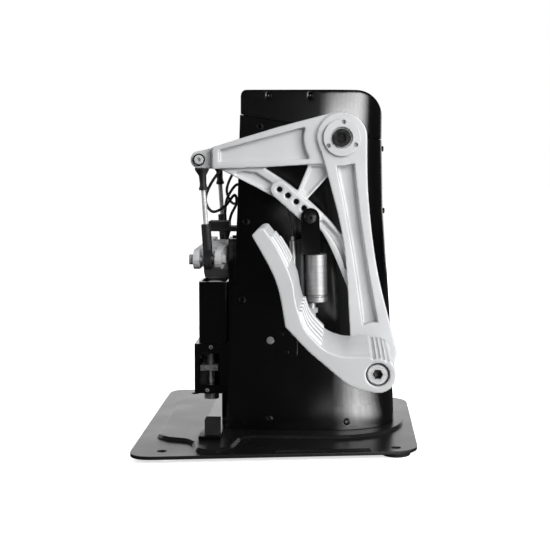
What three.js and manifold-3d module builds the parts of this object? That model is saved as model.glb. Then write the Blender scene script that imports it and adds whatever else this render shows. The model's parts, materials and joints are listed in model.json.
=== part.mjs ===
// Flight rudder pedals of the hanging kind: two pedals swing under a common axle at the top of a
// tower, in opposite directions, and a rocker behind the tower ties them together and centres them.
// Each pedal also tips about its heel to work a toe brake.
//
// Millimetres. +X points to the sitting user, +Z is up, and the user's left is -Y. The origin is under
// the middle of the object, on the floor.
import * as THREE from "three";
import { mergeVertices } from "three/addons/utils/BufferGeometryUtils.js";
import Module from "manifold-3d";

const wasm = await Module();
wasm.setup();

// ---- Driving dimensions -------------------------------------------------------------------------

// Base plate
const PLATE_LENGTH = 246;
const PLATE_REAR_WIDTH = 300;
const PLATE_FRONT_WIDTH = 230;
const PLATE_CORNER = 24;
const PLATE_THICKNESS = 3;
const PLATEAU_HEIGHT = 3;
const BEAD_HEIGHT = 2;
const FOOT_HEIGHT = 4;
const FOOT_RADIUS = 12.5;
const FOOT_CHAMFER = 1.2;
const PLATE_SCREW_RADIUS = 3.2;
const PLATE_HOLES = [[-96, 127], [104, 104]]; // rear pair and front pair
const FEET = { rear: [-96, 104], front: [104, 101] };

// Main axle. Everything on the tower is placed from the middle of the axle.
const AXLE_X = 56;
const AXLE_Z = 273;
const AXLE_RADIUS = 10;
const AXLE_CLEARANCE = 2; // round the axle, in the wall of the tower and its cap
const HUB_OUTER_FACE = 108; // distance from the middle plane, as are the other faces
const HUB_INNER_FACE = 54;
const HUB_RADIUS = 21.3;

// Tower
const TOWER_HALF_WIDTH = 50;
const TOWER_WALL = 2;
const TOWER_FOOT_Z = -263;
const TOWER_NOSE_LENGTH = 56; // how far the rounded front runs back
const CAP_TOP_Z = 42.5;
const CAP_FRONT_X = 36.7;
const CAP_REAR_X = -90;
const SEAM_REAR_Z = 20.5;
const SEAM_FRONT_Z = -2;

// Pendulum arm
const ARM_NEAR = 84;
const ARM_FAR = 108;
const BEAM_FAR = 106;
const BRACE_NEAR = 90;
const BRACE_FAR = 102;
const HEEL = { x: 28.5, z: -181.5 };
const HEEL_BOSS_RADIUS = 20;
const REAR_PIVOT = { x: -122, z: -18.7 };
const REAR_LUG_RADIUS = 7.5;
const BRAKE_HOLES = [[-52.8, -43.8], [-45.6, -48.9], [-38.6, -54.2], [-32, -59.7], [-26.5, -67]];
const BRAKE_HOLE_RADIUS = 2.6;
const BEARING_OUTER_RADIUS = 14.6;
const HEEL_BOLT_RADIUS = 5;

// Link between the arm and the rocker. The rocker's bolts sit a little further out than the link, because
// they come inwards as the rocker tilts.
const LINK_PLANE = 78;
const ROCKER_HALF_LENGTH = 79.4;
const ROCKER = { x: -116.5, z: -106 };

// Pedal
const PEDAL_NEAR = 110.6;
const PEDAL_FAR = 220;
const PEDAL_WALL = 6;
const TREAD_THICKNESS = 7;
const BARREL_RADIUS = 14.2;

// Brake unit, which hangs from the last of the brake holes and pulls on a pin of the pedal
const BRAKE_PLANE = 96;
const BRAKE_TOP = { x: BRAKE_HOLES[4][0], z: BRAKE_HOLES[4][1] };
const BRAKE_PIN = { x: -24.5, z: -166 };

const GAP = 0.3; // between pieces that touch

// ---- Materials ----------------------------------------------------------------------------------

const finish = (color, roughness, metalness) => () =>
  new THREE.MeshStandardMaterial({ color, roughness, metalness });
const castAluminium = finish(0xd4d6d8, 0.45, 0.55);
const blackPaint = finish(0x17181a, 0.4, 0.2);
const basePaint = finish(0x2a2b2d, 0.35, 0.3);
const blackPlastic = finish(0x101113, 0.55, 0);
const steel = finish(0xb9bcc0, 0.28, 0.95);
const darkSteel = finish(0x2c2d30, 0.35, 0.85);
const rubber = finish(0x0c0c0d, 0.85, 0);
const greenBoard = finish(0x14502e, 0.5, 0.05);

// ---- Solids -------------------------------------------------------------------------------------

const CIRCLE_STEPS = 32;
const SMALL_CIRCLE_STEPS = 12;
const CURVE_STEPS = 4; // a half circle takes twice as many

function toManifold(geometry) {
  const bare = geometry.index ? geometry.toNonIndexed() : geometry.clone();
  bare.deleteAttribute("normal");
  bare.deleteAttribute("uv");
  const merged = mergeVertices(bare, 1e-3);
  return new wasm.Manifold(new wasm.Mesh({
    numProp: 3,
    vertProperties: new Float32Array(merged.attributes.position.array),
    triVerts: new Uint32Array(merged.index.array),
  }));
}

function toGeometry(manifold) {
  const mesh = manifold.getMesh();
  const geometry = new THREE.BufferGeometry();
  geometry.setAttribute("position", new THREE.BufferAttribute(new Float32Array(mesh.vertProperties), 3));
  geometry.setIndex(new THREE.BufferAttribute(new Uint32Array(mesh.triVerts), 1));
  geometry.computeVertexNormals();
  return geometry;
}

/** One body from geometries that overlap, less the geometries that are cut out of it. */
function body(joined, cut = []) {
  let solid = toManifold(joined[0]);
  for (const geometry of joined.slice(1)) solid = solid.add(toManifold(geometry));
  for (const geometry of cut) solid = solid.subtract(toManifold(geometry));
  return toGeometry(solid);
}

function overlapOf(a, b) {
  return toGeometry(toManifold(a).intersect(toManifold(b)));
}

function extruded(shape, depth) {
  return new THREE.ExtrudeGeometry(shape, { depth, bevelEnabled: false, curveSegments: CURVE_STEPS });
}

/** A side view (x, z) given thickness on the left side, between two distances from the middle plane. */
function sideSlab(shape, near, far) {
  return extruded(shape, far - near).rotateX(Math.PI / 2).translate(0, -near, 0);
}

/** A plan view (x, y) given height from zLow to zHigh. */
function planSlab(shape, zLow, zHigh) {
  return extruded(shape, zHigh - zLow).translate(0, 0, zLow);
}

/** A rear view (y, z) given length from xLow to xHigh. */
function crossSlab(shape, xLow, xHigh) {
  return extruded(shape, xHigh - xLow).rotateX(Math.PI / 2).rotateZ(Math.PI / 2).translate(xLow, 0, 0);
}

function block(xLow, xHigh, yLow, yHigh, zLow, zHigh) {
  const geometry = new THREE.BoxGeometry(xHigh - xLow, yHigh - yLow, zHigh - zLow);
  return geometry.translate((xLow + xHigh) / 2, (yLow + yHigh) / 2, (zLow + zHigh) / 2);
}

/** A round bar along Y on the left side, between two distances from the middle plane. */
function sideBar(radius, near, far, x = 0, z = 0, steps = CIRCLE_STEPS) {
  return new THREE.CylinderGeometry(radius, radius, far - near, steps).translate(x, -(near + far) / 2, z);
}

function uprightBar(radius, zLow, zHigh, x = 0, y = 0, steps = SMALL_CIRCLE_STEPS) {
  const geometry = new THREE.CylinderGeometry(radius, radius, zHigh - zLow, steps);
  return geometry.rotateX(Math.PI / 2).translate(x, y, (zLow + zHigh) / 2);
}

function crossBar(radius, xLow, xHigh, y = 0, z = 0, steps = SMALL_CIRCLE_STEPS) {
  const geometry = new THREE.CylinderGeometry(radius, radius, xHigh - xLow, steps);
  return geometry.rotateZ(Math.PI / 2).translate((xLow + xHigh) / 2, y, z);
}

/** A solid of revolution about Z from [radius, z] points that start and end on the axis. */
function turned(points, steps = SMALL_CIRCLE_STEPS) {
  const profile = points.map(([radius, z]) => new THREE.Vector2(radius, z));
  return new THREE.LatheGeometry(profile, steps).rotateX(Math.PI / 2);
}

/** Skins rings of points of equal count, and closes the first and last ring flat. */
function loft(rings) {
  const count = rings[0].length;
  const positions = rings.flat().flatMap((point) => [point.x, point.y, point.z]);
  const faces = THREE.ShapeUtils.triangulateShape(rings[0].map((p) => new THREE.Vector2(p.x, p.y)), []);
  const index = faces.flatMap(([a, b, c]) => [a, c, b]);
  const last = (rings.length - 1) * count;
  index.push(...faces.flatMap(([a, b, c]) => [last + a, last + b, last + c]));
  for (let level = 0; level < rings.length - 1; level += 1) {
    for (let i = 0; i < count; i += 1) {
      const a = level * count + i;
      const b = level * count + (i + 1) % count;
      index.push(a, b, b + count, a, b + count, a + count);
    }
  }
  const geometry = new THREE.BufferGeometry();
  geometry.setAttribute("position", new THREE.Float32BufferAttribute(positions, 3));
  geometry.setIndex(index);
  return geometry;
}

const vectors = (points) => points.map(([x, y]) => new THREE.Vector2(x, y));
const polygon = (points) => new THREE.Shape(vectors(points));

/** A closed outline with corners [x, y, rounding], where the rounding is the length it takes of each side. */
function roundedPolygon(corners) {
  const shape = new THREE.Shape();
  corners.forEach(([x, y, rounding], i) => {
    const corner = new THREE.Vector2(x, y);
    const towards = (other) => new THREE.Vector2(other[0] - x, other[1] - y).setLength(rounding).add(corner);
    const start = towards(corners.at(i - 1));
    const end = towards(corners[(i + 1) % corners.length]);
    if (i === 0) shape.moveTo(start.x, start.y);
    else shape.lineTo(start.x, start.y);
    if (rounding > 0) shape.quadraticCurveTo(x, y, end.x, end.y);
  });
  shape.closePath();
  return shape;
}

function disc(x, y, radius) {
  return new THREE.Shape().absarc(x, y, radius, 0, 2 * Math.PI, false);
}

/** A bar with round ends from one point to another. */
function stadium([x1, y1], [x2, y2], radius) {
  const along = Math.atan2(y2 - y1, x2 - x1);
  const shape = new THREE.Shape();
  shape.absarc(x2, y2, radius, along - Math.PI / 2, along + Math.PI / 2, false);
  shape.absarc(x1, y1, radius, along + Math.PI / 2, along + 1.5 * Math.PI, false);
  shape.closePath();
  return shape;
}

function mesh(name, geometry, material, parent) {
  const piece = new THREE.Mesh(geometry, material());
  piece.name = name;
  parent.add(piece);
  return piece;
}

// ---- Base plate and feet ------------------------------------------------------------------------

/** The raised middle of the plate: it carries the tower and bulges out round the tower's rear flange. */
function plateauOutline() {
  const noseX = 44;
  const noseLength = 72;
  const left = [
    [-108, -76], [-98, -88], [-80, -94], [-73, -104], [-68, -126], [-60, -134], [-46, -134],
    [-36, -116], [-31, -84], [-22, -77], [noseX, -77],
  ];
  const shape = polygon(left);
  shape.absellipse(noseX, 0, noseLength, 77, -Math.PI / 2, Math.PI / 2, false);
  for (const [x, y] of left.slice(0, -1).reverse()) shape.lineTo(x, -y);
  shape.closePath();
  return shape;
}

function basePlate() {
  const end = PLATE_LENGTH / 2;
  const [rear, front] = [PLATE_REAR_WIDTH / 2, PLATE_FRONT_WIDTH / 2];
  const corners = [[-end, -rear], [end, -front], [end, front], [-end, rear]];
  const outline = roundedPolygon(corners.map(([x, y]) => [x, y, PLATE_CORNER]));
  const top = FOOT_HEIGHT + PLATE_THICKNESS;
  const solids = [
    planSlab(outline, FOOT_HEIGHT, top),
    planSlab(plateauOutline(), FOOT_HEIGHT, top + PLATEAU_HEIGHT),
  ];
  const holes = [];
  for (const side of [-1, 1]) {
    const bead = stadium([2, side * 125], [80, side * 115], 3.5);
    solids.push(planSlab(bead, FOOT_HEIGHT, top + BEAD_HEIGHT));
    for (const [x, y] of PLATE_HOLES) holes.push(uprightBar(PLATE_SCREW_RADIUS, 0, 20, x, side * y));
  }
  return body(solids, holes);
}

function foot() {
  const top = FOOT_HEIGHT - GAP;
  const profile = [
    [0, 0], [FOOT_RADIUS - FOOT_CHAMFER, 0], [FOOT_RADIUS, FOOT_CHAMFER], [FOOT_RADIUS, top], [0, top],
  ];
  return body([turned(profile, 20)], [uprightBar(PLATE_SCREW_RADIUS, -1, FOOT_HEIGHT + 1)]);
}

// ---- Tower --------------------------------------------------------------------------------------

/** Height of the slanted seam between the tower and its cap. */
function seamZ(x) {
  return THREE.MathUtils.mapLinear(x, CAP_REAR_X, CAP_FRONT_X, SEAM_REAR_Z, SEAM_FRONT_Z);
}

/** Half of the tower's plan view, from the rear edge round to the middle of the nose. */
function noseHalf(rearX, frontX, halfWidth, noseLength, steps) {
  const points = [[rearX, -halfWidth]];
  for (let i = 0; i <= steps; i += 1) {
    const turn = (i / steps) * Math.PI / 2;
    points.push([frontX - noseLength + noseLength * Math.sin(turn), -halfWidth * Math.cos(turn)]);
  }
  return points;
}

/** The tower's plan view from the left rear edge round to the right rear edge. */
function noseLine(rearX, frontX, inset = 0) {
  const half = noseHalf(rearX, frontX - inset, TOWER_HALF_WIDTH - inset, TOWER_NOSE_LENGTH - inset, 12);
  return [...half, ...half.slice(0, -1).reverse().map(([x, y]) => [x, -y])];
}

/** The tower's wall, open at the rear. Its side view narrows upwards to the seam under the cap. */
function towerShell() {
  const levels = [
    { z: () => TOWER_FOOT_Z + GAP, rearX: -104.3, frontX: 50 },
    { z: () => -160, rearX: -97.6, frontX: 45.2 },
    { z: () => -65, rearX: -93.2, frontX: 38.2 },
    { z: (x) => seamZ(x) - GAP, rearX: -90.5, frontX: CAP_FRONT_X },
  ];
  const rings = levels.map(({ z, rearX, frontX }) => {
    const outer = noseLine(rearX, frontX);
    const inner = noseLine(rearX, frontX, TOWER_WALL).reverse();
    return [...outer, ...inner].map(([x, y]) => new THREE.Vector3(x, y, z(x)));
  });
  return body([loft(rings)], [sideBar(AXLE_RADIUS + AXLE_CLEARANCE, -60, 60)]);
}

/** The cap's side view, shrunk by inset on every side but the seam. */
function capSide(inset) {
  const [front, rear, top] = [CAP_FRONT_X - inset, CAP_REAR_X + inset, CAP_TOP_Z - inset];
  const [frontRound, rearRound] = [24 - inset, Math.max(5 - inset, 1)];
  const seamDrop = inset > 0 ? 5 : 0;
  const shape = new THREE.Shape();
  shape.moveTo(rear, seamZ(rear) - seamDrop);
  shape.lineTo(front, seamZ(front) - seamDrop);
  shape.absellipse(front - frontRound, top - frontRound, frontRound, frontRound, 0, Math.PI / 2, false);
  shape.absellipse(rear + rearRound, top - rearRound, rearRound, rearRound, Math.PI / 2, Math.PI, false);
  shape.closePath();
  return shape;
}

function towerCap() {
  const shapeWithin = (inset) => {
    const plan = polygon(noseLine(CAP_REAR_X - 5, CAP_FRONT_X, inset));
    const side = sideSlab(capSide(inset), -TOWER_HALF_WIDTH - 1, TOWER_HALF_WIDTH + 1);
    return overlapOf(side, planSlab(plan, -20, CAP_TOP_Z + 1));
  };
  return body([shapeWithin(0)], [shapeWithin(TOWER_WALL), sideBar(AXLE_RADIUS + AXLE_CLEARANCE, -60, 60)]);
}

/** The panel that closes the tower's rear, bent out at its foot into a flange with two ears. */
function rearPanel() {
  const foot = TOWER_FOOT_Z + GAP;
  const flange = polygon([
    [-124, -97], [-105, -97], [-105, -46], [-81, -46], [-81, 46], [-105, 46], [-105, 97], [-124, 97],
  ]);
  return body([block(-84, -81, -46, 46, foot, 15), planSlab(flange, foot, foot + 3)]);
}

/** The upright fork inside the tower that carries the axle. */
function innerFrame() {
  const [inner, outer, foot, top] = [34, 38, TOWER_FOOT_Z + GAP, 16];
  const fork = polygon([
    [-outer, foot], [outer, foot], [outer, top], [inner, top], [inner, foot + 5],
    [-inner, foot + 5], [-inner, top], [-outer, top],
  ]);
  return body([crossSlab(fork, -26, 12)], [sideBar(AXLE_RADIUS + GAP, -60, 60)]);
}

/** A channel behind the rear panel that carries the rocker and the spring unit. */
function mechanismFrame() {
  const foot = TOWER_FOOT_Z + 3 + 2 * GAP;
  const flange = polygon([
    [-103.5, -92], [-103.5, -186], [-110, -192], [-110, foot], [-84.3, foot], [-84.3, -92],
  ]);
  const web = block(-88, -84.3, -24, 24, foot, -92);
  const flanges = [sideSlab(flange, 21, 24), sideSlab(flange, -24, -21)];
  return body([web, ...flanges]);
}

// ---- Rocker and centring unit -------------------------------------------------------------------

const ROCKER_SHAFT_RADIUS = 6;
const CHEEK_RADIUS = 8.5;
const FORK_BOLT_RADIUS = 2.5;

/** A ladder beam: two cheeks, tied by webs and by a round cam in the middle, with a fork at each end. */
function rockerBeam() {
  const cheek = stadium([-ROCKER_HALF_LENGTH, 0], [ROCKER_HALF_LENGTH, 0], CHEEK_RADIUS);
  const cheeks = [crossSlab(cheek, -12.5, -7), crossSlab(cheek, 6.5, 12)];
  const camRadius = 25;
  const cam = new THREE.Shape();
  cam.absarc(0, 0, camRadius, Math.PI - 0.35, 2 * Math.PI + 0.35, false);
  cam.closePath();
  const webs = [-1, 1].map((side) => block(-12, 12, side * 58 - 3, side * 58 + 3, -7, 7));
  const holes = [crossBar(ROCKER_SHAFT_RADIUS + GAP, -30, 30, 0, 0, CIRCLE_STEPS)];
  for (const side of [-1, 1]) {
    holes.push(crossBar(FORK_BOLT_RADIUS + GAP, -30, 30, side * ROCKER_HALF_LENGTH, 0));
  }
  return body([...cheeks, crossSlab(cam, -10.5, 12), ...webs], holes);
}

function forkBolt() {
  const head = crossBar(4.6, -16.5, -12.8);
  return body([crossBar(FORK_BOLT_RADIUS, -14, 14.5), head, crossBar(4.2, 12.3, 15.5, 0, 0, 6)]);
}

function pivotBlock() {
  const shape = roundedPolygon([[-16, -20, 3], [16, -20, 3], [16, 9, 8], [-16, 9, 8]]);
  const shaftHole = crossBar(ROCKER_SHAFT_RADIUS + GAP, 0, 40, 0, 0, CIRCLE_STEPS);
  return body([crossSlab(shape, 13, 28)], [shaftHole]);
}

const HOUSING_TOP_Z = -132.5;
const HOUSING_FOOT_Z = -190;
const UNIT_X = -118;

/** A rectangular tube, open at both ends. */
function springHousing() {
  const rectangle = (xLow, xHigh, halfWidth, rounding) =>
    roundedPolygon([[xLow, -halfWidth], [xHigh, -halfWidth], [xHigh, halfWidth], [xLow, halfWidth]]
      .map(([x, y]) => [x, y, rounding]));
  const wall = 2.5;
  const outer = planSlab(rectangle(-132, -104, 18, 3), HOUSING_FOOT_Z, HOUSING_TOP_Z);
  const inner = rectangle(-132 + wall, -104 - wall, 18 - wall, 1);
  return body([outer], [planSlab(inner, HOUSING_FOOT_Z - 1, HOUSING_TOP_Z + 1)]);
}

class Helix extends THREE.Curve {
  constructor(radius, pitch, turns) {
    super();
    Object.assign(this, { radius, pitch, turns });
  }

  getPoint(t, target = new THREE.Vector3()) {
    const turned = t * this.turns;
    const angle = turned * 2 * Math.PI;
    return target.set(this.radius * Math.cos(angle), this.radius * Math.sin(angle), turned * this.pitch);
  }
}

function centringSpring() {
  const [turns, stepsPerTurn] = [6, 8];
  return new THREE.ExtrudeGeometry(disc(0, 0, 1.4), {
    steps: turns * stepsPerTurn, curveSegments: 3, extrudePath: new Helix(8, 5.6, turns),
  });
}

function springPlunger() {
  return turned([[0, -14], [4, -14], [4, -4], [10, -4], [10, 0], [6, 2], [0, 2]], 24);
}

const ADJUSTER_TOP_Z = HOUSING_FOOT_Z - GAP;
const ADJUSTER_FOOT_Z = -237;
const GUIDE_ROD_OFFSET = 8;
const GUIDE_ROD_RADIUS = 1.8;
const SCREW_RADIUS = 3;
const SCREW_X = UNIT_X - 4;
const WINDOW_FOOT_Z = ADJUSTER_FOOT_Z + 8;
const WINDOW_TOP_Z = ADJUSTER_TOP_Z - 9;

/** A frame under the spring housing, open on the left, with the preload screw coming up through its foot. */
function adjusterBlock() {
  const frame = block(-136, -109, -19, 19, ADJUSTER_FOOT_Z, ADJUSTER_TOP_Z);
  const window = block(-132, -112.5, -30, 16.5, WINDOW_FOOT_Z, WINDOW_TOP_Z);
  const screwHole = uprightBar(SCREW_RADIUS + GAP, ADJUSTER_FOOT_Z - 1, ADJUSTER_TOP_Z + 1, SCREW_X, 0);
  return body([frame], [window, screwHole]);
}

function guideRod() {
  return uprightBar(GUIDE_ROD_RADIUS, WINDOW_FOOT_Z + GAP, WINDOW_TOP_Z - GAP);
}

function preloadScrew() {
  const knob = uprightBar(7, ADJUSTER_FOOT_Z - 8, ADJUSTER_FOOT_Z - GAP, 0, 0, 12);
  return body([knob, uprightBar(SCREW_RADIUS, ADJUSTER_FOOT_Z - 1, ADJUSTER_TOP_Z - 4)]);
}

function preloadSeat() {
  const plate = block(-9, 7.5, -16, 16, -216, -211);
  const holes = [uprightBar(SCREW_RADIUS + GAP, -220, -205)];
  for (const side of [-1, 1]) {
    holes.push(uprightBar(GUIDE_ROD_RADIUS + GAP, -220, -205, 0, side * GUIDE_ROD_OFFSET));
  }
  return body([plate], holes);
}

// ---- Electronics --------------------------------------------------------------------------------

/** A socket for a lead, open towards the rear. */
function usbSocket() {
  return body([block(-119, -106, -93, -78, -259.4, -246)], [block(-125, -109, -90.5, -80.5, -257, -248.5)]);
}

/** The bar behind the tower that reads the rocker's angle, with a peg that points down at the rocker. */
function sensorBoard() {
  const peg = turned([[0, -9], [1.6, -9], [4, 0], [0, 0]]).translate(-107, 0, -85.5);
  return body([block(-125, -84.3, -14, 14, -86, -82), block(-123, -104, -12, 12, -83, -77), peg]);
}

function controllerBoard() {
  return body([block(-80.5, -79, -34, 34, -200, -110), block(-79.5, -70, -12, 12, -150, -125)]);
}

/** A wire of round section through points chosen by hand. */
function wire(points, radius) {
  const corners = points.map(([x, y, z]) => new THREE.Vector3(x, y, z));
  const path = new THREE.CatmullRomCurve3(corners, false, "centripetal");
  return new THREE.ExtrudeGeometry(disc(0, 0, radius), { steps: 26, curveSegments: 4, extrudePath: path });
}

const LEFT_WIRE = [
  [-84.6, -30, -14], [-96, -32, -20], [-108, -36, -28], [-118, -42, -42], [-122, -46, -56],
  [-116, -44, -66], [-106, -34, -62], [-98, -22, -52], [-97, -12, -60], [-102, -6, -70], [-104, -4, -76.6],
];
const RIGHT_WIRE = [
  [-84.6, 26, -18], [-94, 28, -22], [-104, 32, -34], [-110, 34, -50], [-104, 30, -62],
  [-95, 22, -58], [-93, 14, -46], [-99, 8, -44], [-107, 6, -56], [-109, 6, -68], [-109, 6, -76.6],
];

// ---- Pendulum arm (left side) -------------------------------------------------------------------

/** The hanging leg: hub at the top, slender and slightly curved, and a boss for the heel at its foot. */
function legOutline() {
  const shape = new THREE.Shape();
  shape.moveTo(-HUB_RADIUS, 0);
  shape.splineThru(vectors([[-11, -35], [2.5, -94], [HEEL.x - HEEL_BOSS_RADIUS, HEEL.z]]));
  shape.absarc(HEEL.x, HEEL.z, HEEL_BOSS_RADIUS, Math.PI, 2 * Math.PI, false);
  shape.splineThru(vectors([[31, -114], [22.6, -50], [HUB_RADIUS, 0]]));
  shape.absarc(0, 0, HUB_RADIUS, 0, Math.PI, false);
  return shape;
}

function legRecess() {
  const shape = new THREE.Shape();
  shape.moveTo(-4.5, -22.7);
  shape.quadraticCurveTo(12, -100, 18.6, -159);
  shape.quadraticCurveTo(25.5, -156, 31.5, -157);
  shape.quadraticCurveTo(16, -80, 10.5, -20.6);
  shape.closePath();
  return shape;
}

/** The beam that runs back from the hub to the rear pivot. */
function beamOutline() {
  const shape = new THREE.Shape();
  shape.moveTo(-110, -26.6);
  shape.lineTo(-66, -25);
  shape.lineTo(-12, -21.7);
  shape.lineTo(0, -10);
  shape.lineTo(0, 22);
  shape.absarc(0, 0, 22.4, Math.PI / 2, 1.88, false);
  shape.lineTo(-54, 9);
  shape.lineTo(-85.5, -0.5);
  shape.lineTo(-110, -8);
  shape.closePath();
  return shape;
}

function beamPocket() {
  const front = 32.3; // the pocket ends on an arc about the axle
  const shape = new THREE.Shape();
  shape.moveTo(-104, -21);
  shape.lineTo(-27, -18);
  shape.absarc(0, 0, front, Math.PI + 0.588, Math.PI - 0.283, true);
  shape.lineTo(-104, -10.5);
  shape.closePath();
  return shape;
}

function rearEar() {
  const shape = new THREE.Shape();
  shape.moveTo(-103, -26.6);
  shape.lineTo(-103, -6.5);
  shape.lineTo(REAR_PIVOT.x + 5, REAR_PIVOT.z + REAR_LUG_RADIUS + 1);
  shape.absarc(REAR_PIVOT.x, REAR_PIVOT.z, REAR_LUG_RADIUS, Math.PI / 2, 1.5 * Math.PI, false);
  shape.closePath();
  return shape;
}

/** The curved brace from the rear of the beam down to the leg. */
function braceOutline() {
  const shape = new THREE.Shape();
  shape.moveTo(-105, -26);
  shape.splineThru(vectors([[-46.6, -56.6], [-17.3, -79.4], [6.5, -130]]));
  shape.lineTo(12, -128);
  shape.lineTo(6, -92);
  shape.splineThru(vectors([[-10.5, -69.7], [-39.6, -43.4], [-66.6, -25]]));
  shape.closePath();
  return shape;
}

/** The rear part of the brace is a channel, open outwards. */
const BRACE_CHANNEL = [[-92, -31], [-62, -41.5], [-61, -36.5], [-74, -29.5]];
const STRUT = [[-28, -24], [-37.5, -45], [-29, -51.8], [-9, -30], [-9, -24]];

function pendulumArm() {
  const holePlate = stadium(BRAKE_HOLES[0], BRAKE_HOLES[4], 7.6);
  const joined = [
    sideSlab(legOutline(), ARM_NEAR, ARM_FAR),
    sideBar(HUB_RADIUS, HUB_INNER_FACE, ARM_FAR - 1),
    sideSlab(beamOutline(), ARM_NEAR, BEAM_FAR),
    sideSlab(rearEar(), ARM_NEAR + 2, ARM_FAR - 11),
    sideSlab(braceOutline(), BRACE_NEAR, BRACE_FAR),
    sideSlab(polygon(STRUT), BRACE_NEAR, BRACE_FAR),
    sideSlab(holePlate, BRACE_NEAR - 2, BRACE_FAR + 2),
  ];
  const cut = [
    sideSlab(legRecess(), ARM_FAR - 12, ARM_FAR + 1),
    sideSlab(beamPocket(), BEAM_FAR - 6, BEAM_FAR + 1),
    sideSlab(polygon(BRACE_CHANNEL), BRACE_FAR - 4, BRACE_FAR + 1),
    sideBar(BEARING_OUTER_RADIUS + GAP, HUB_INNER_FACE - 1, ARM_FAR + 1),
    sideBar(3.3, ARM_NEAR - 1, ARM_FAR, REAR_PIVOT.x, REAR_PIVOT.z, SMALL_CIRCLE_STEPS),
    sideBar(HEEL_BOLT_RADIUS + GAP, ARM_NEAR - 1, ARM_FAR + 1, HEEL.x, HEEL.z, SMALL_CIRCLE_STEPS),
  ];
  for (const [x, z] of BRAKE_HOLES) {
    cut.push(sideBar(BRAKE_HOLE_RADIUS, BRACE_NEAR - 5, BRACE_FAR + 5, x, z, SMALL_CIRCLE_STEPS));
  }
  return body(joined, cut);
}

function hubBearing() {
  return body([sideBar(BEARING_OUTER_RADIUS, 92, 107)], [sideBar(AXLE_RADIUS + GAP, 80, 110)]);
}

/** A flat ring screwed over the bearing, with three notches for a pin wrench. */
function bearingFlange() {
  const notches = [90, 213, 327].map((degrees) => {
    const angle = THREE.MathUtils.degToRad(degrees);
    return sideBar(1.7, 105, 115, 13.6 * Math.cos(angle), 13.6 * Math.sin(angle), 12);
  });
  return body([sideBar(15.8, ARM_FAR + GAP, ARM_FAR + 2.8)], [sideBar(8.8, 105, 115), ...notches]);
}

/** A cap screw along Y: shank up to near, then a head with a hexagon socket. */
function capScrew(shankRadius, headRadius, shankNear, headNear, headFar, socketRadius) {
  const head = sideBar(headRadius, headNear, headFar, 0, 0, 20);
  const shank = sideBar(shankRadius, shankNear, headNear + 0.5, 0, 0, SMALL_CIRCLE_STEPS);
  const socket = sideBar(socketRadius, (headNear + headFar) / 2, headFar + 1, 0, 0, 6);
  return body([head, shank], [socket]);
}

const axleBolt = () => capScrew(4, 8, HUB_OUTER_FACE + GAP, HUB_OUTER_FACE + GAP, 113, 3.6);
const heelBolt = () => capScrew(HEEL_BOLT_RADIUS, 8, ARM_NEAR + 3, 210, 218, 4.2);
const rearPivotBolt = () => capScrew(3, 4.9, LINK_PLANE - 8, ARM_FAR - 11 + GAP, ARM_FAR - 7, 2);
const clevisBolt = () => capScrew(CLEVIS_BOLT_RADIUS, 5.2, 81, 110, 113, 2);

function mainAxle() {
  return body([sideBar(AXLE_RADIUS, -HUB_OUTER_FACE, HUB_OUTER_FACE)]);
}

// ---- Link (left side), drawn hanging from the rear pivot ----------------------------------------

const LINK_ROD_RADIUS = 2.1;
const LINK_LENGTH = Math.hypot(ROCKER.x - REAR_PIVOT.x, ROCKER.z - REAR_PIVOT.z);
const LINK_LEAN = -Math.atan2(ROCKER.x - REAR_PIVOT.x, REAR_PIVOT.z - ROCKER.z);

function upperRodEnd() {
  const eye = sideBar(REAR_LUG_RADIUS, LINK_PLANE - 4, LINK_PLANE + 4, 0, 0, 20);
  const shank = turned([[0, -26], [5.5, -26], [5.5, -23.5], [3.2, -21], [3.8, -5], [0, -5]]);
  const hole = sideBar(3.3, LINK_PLANE - 9, LINK_PLANE + 9, 0, 0, SMALL_CIRCLE_STEPS);
  const bore = uprightBar(LINK_ROD_RADIUS + GAP, -30, -20, 0, -LINK_PLANE);
  return body([eye, shank.translate(0, -LINK_PLANE, 0)], [hole, bore]);
}

function linkRod() {
  return uprightBar(LINK_ROD_RADIUS, -LINK_LENGTH + 30, -20 - GAP, 0, -LINK_PLANE, 16);
}

/** A long sleeve over the rod's lower end, with an eye for the rocker's bolt. */
function lowerRodEnd() {
  const [sleeveTop, sleeveFoot] = [-LINK_LENGTH + 31, -LINK_LENGTH + 5];
  const eyeHalfLength = 3.4; // stays clear of the rocker's cheeks when the link leans
  const eye = crossBar(9, -eyeHalfLength, eyeHalfLength, -LINK_PLANE, -LINK_LENGTH, 20);
  const sleeve = uprightBar(4.2, sleeveFoot, sleeveTop, 0, -LINK_PLANE);
  const hole = crossBar(5.2, -9, 9, -LINK_PLANE, -LINK_LENGTH, 20);
  const bore = uprightBar(LINK_ROD_RADIUS + GAP, sleeveTop - 2, sleeveTop + 1, 0, -LINK_PLANE);
  return body([eye, sleeve], [hole, bore]);
}

// ---- Brake unit (left side), drawn hanging from its bolt ----------------------------------------

const CLEVIS_INNER = 8.5; // from the brake plane to the cheeks' inner and outer faces
const CLEVIS_OUTER = 13.5;
const CLEVIS_BOLT_RADIUS = 2.3;
const BRAKE_LENGTH = Math.hypot(BRAKE_PIN.x - BRAKE_TOP.x, BRAKE_PIN.z - BRAKE_TOP.z);
const BRAKE_LEAN = -Math.atan2(BRAKE_PIN.x - BRAKE_TOP.x, BRAKE_TOP.z - BRAKE_PIN.z);
const CLEVIS_HALF_WIDTH = 7.9;
const CLEVIS_FOOT_Z = -31.5;
const CYLINDER_RADIUS = 9.5;
const CYLINDER_FOOT_Z = -74;

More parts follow.
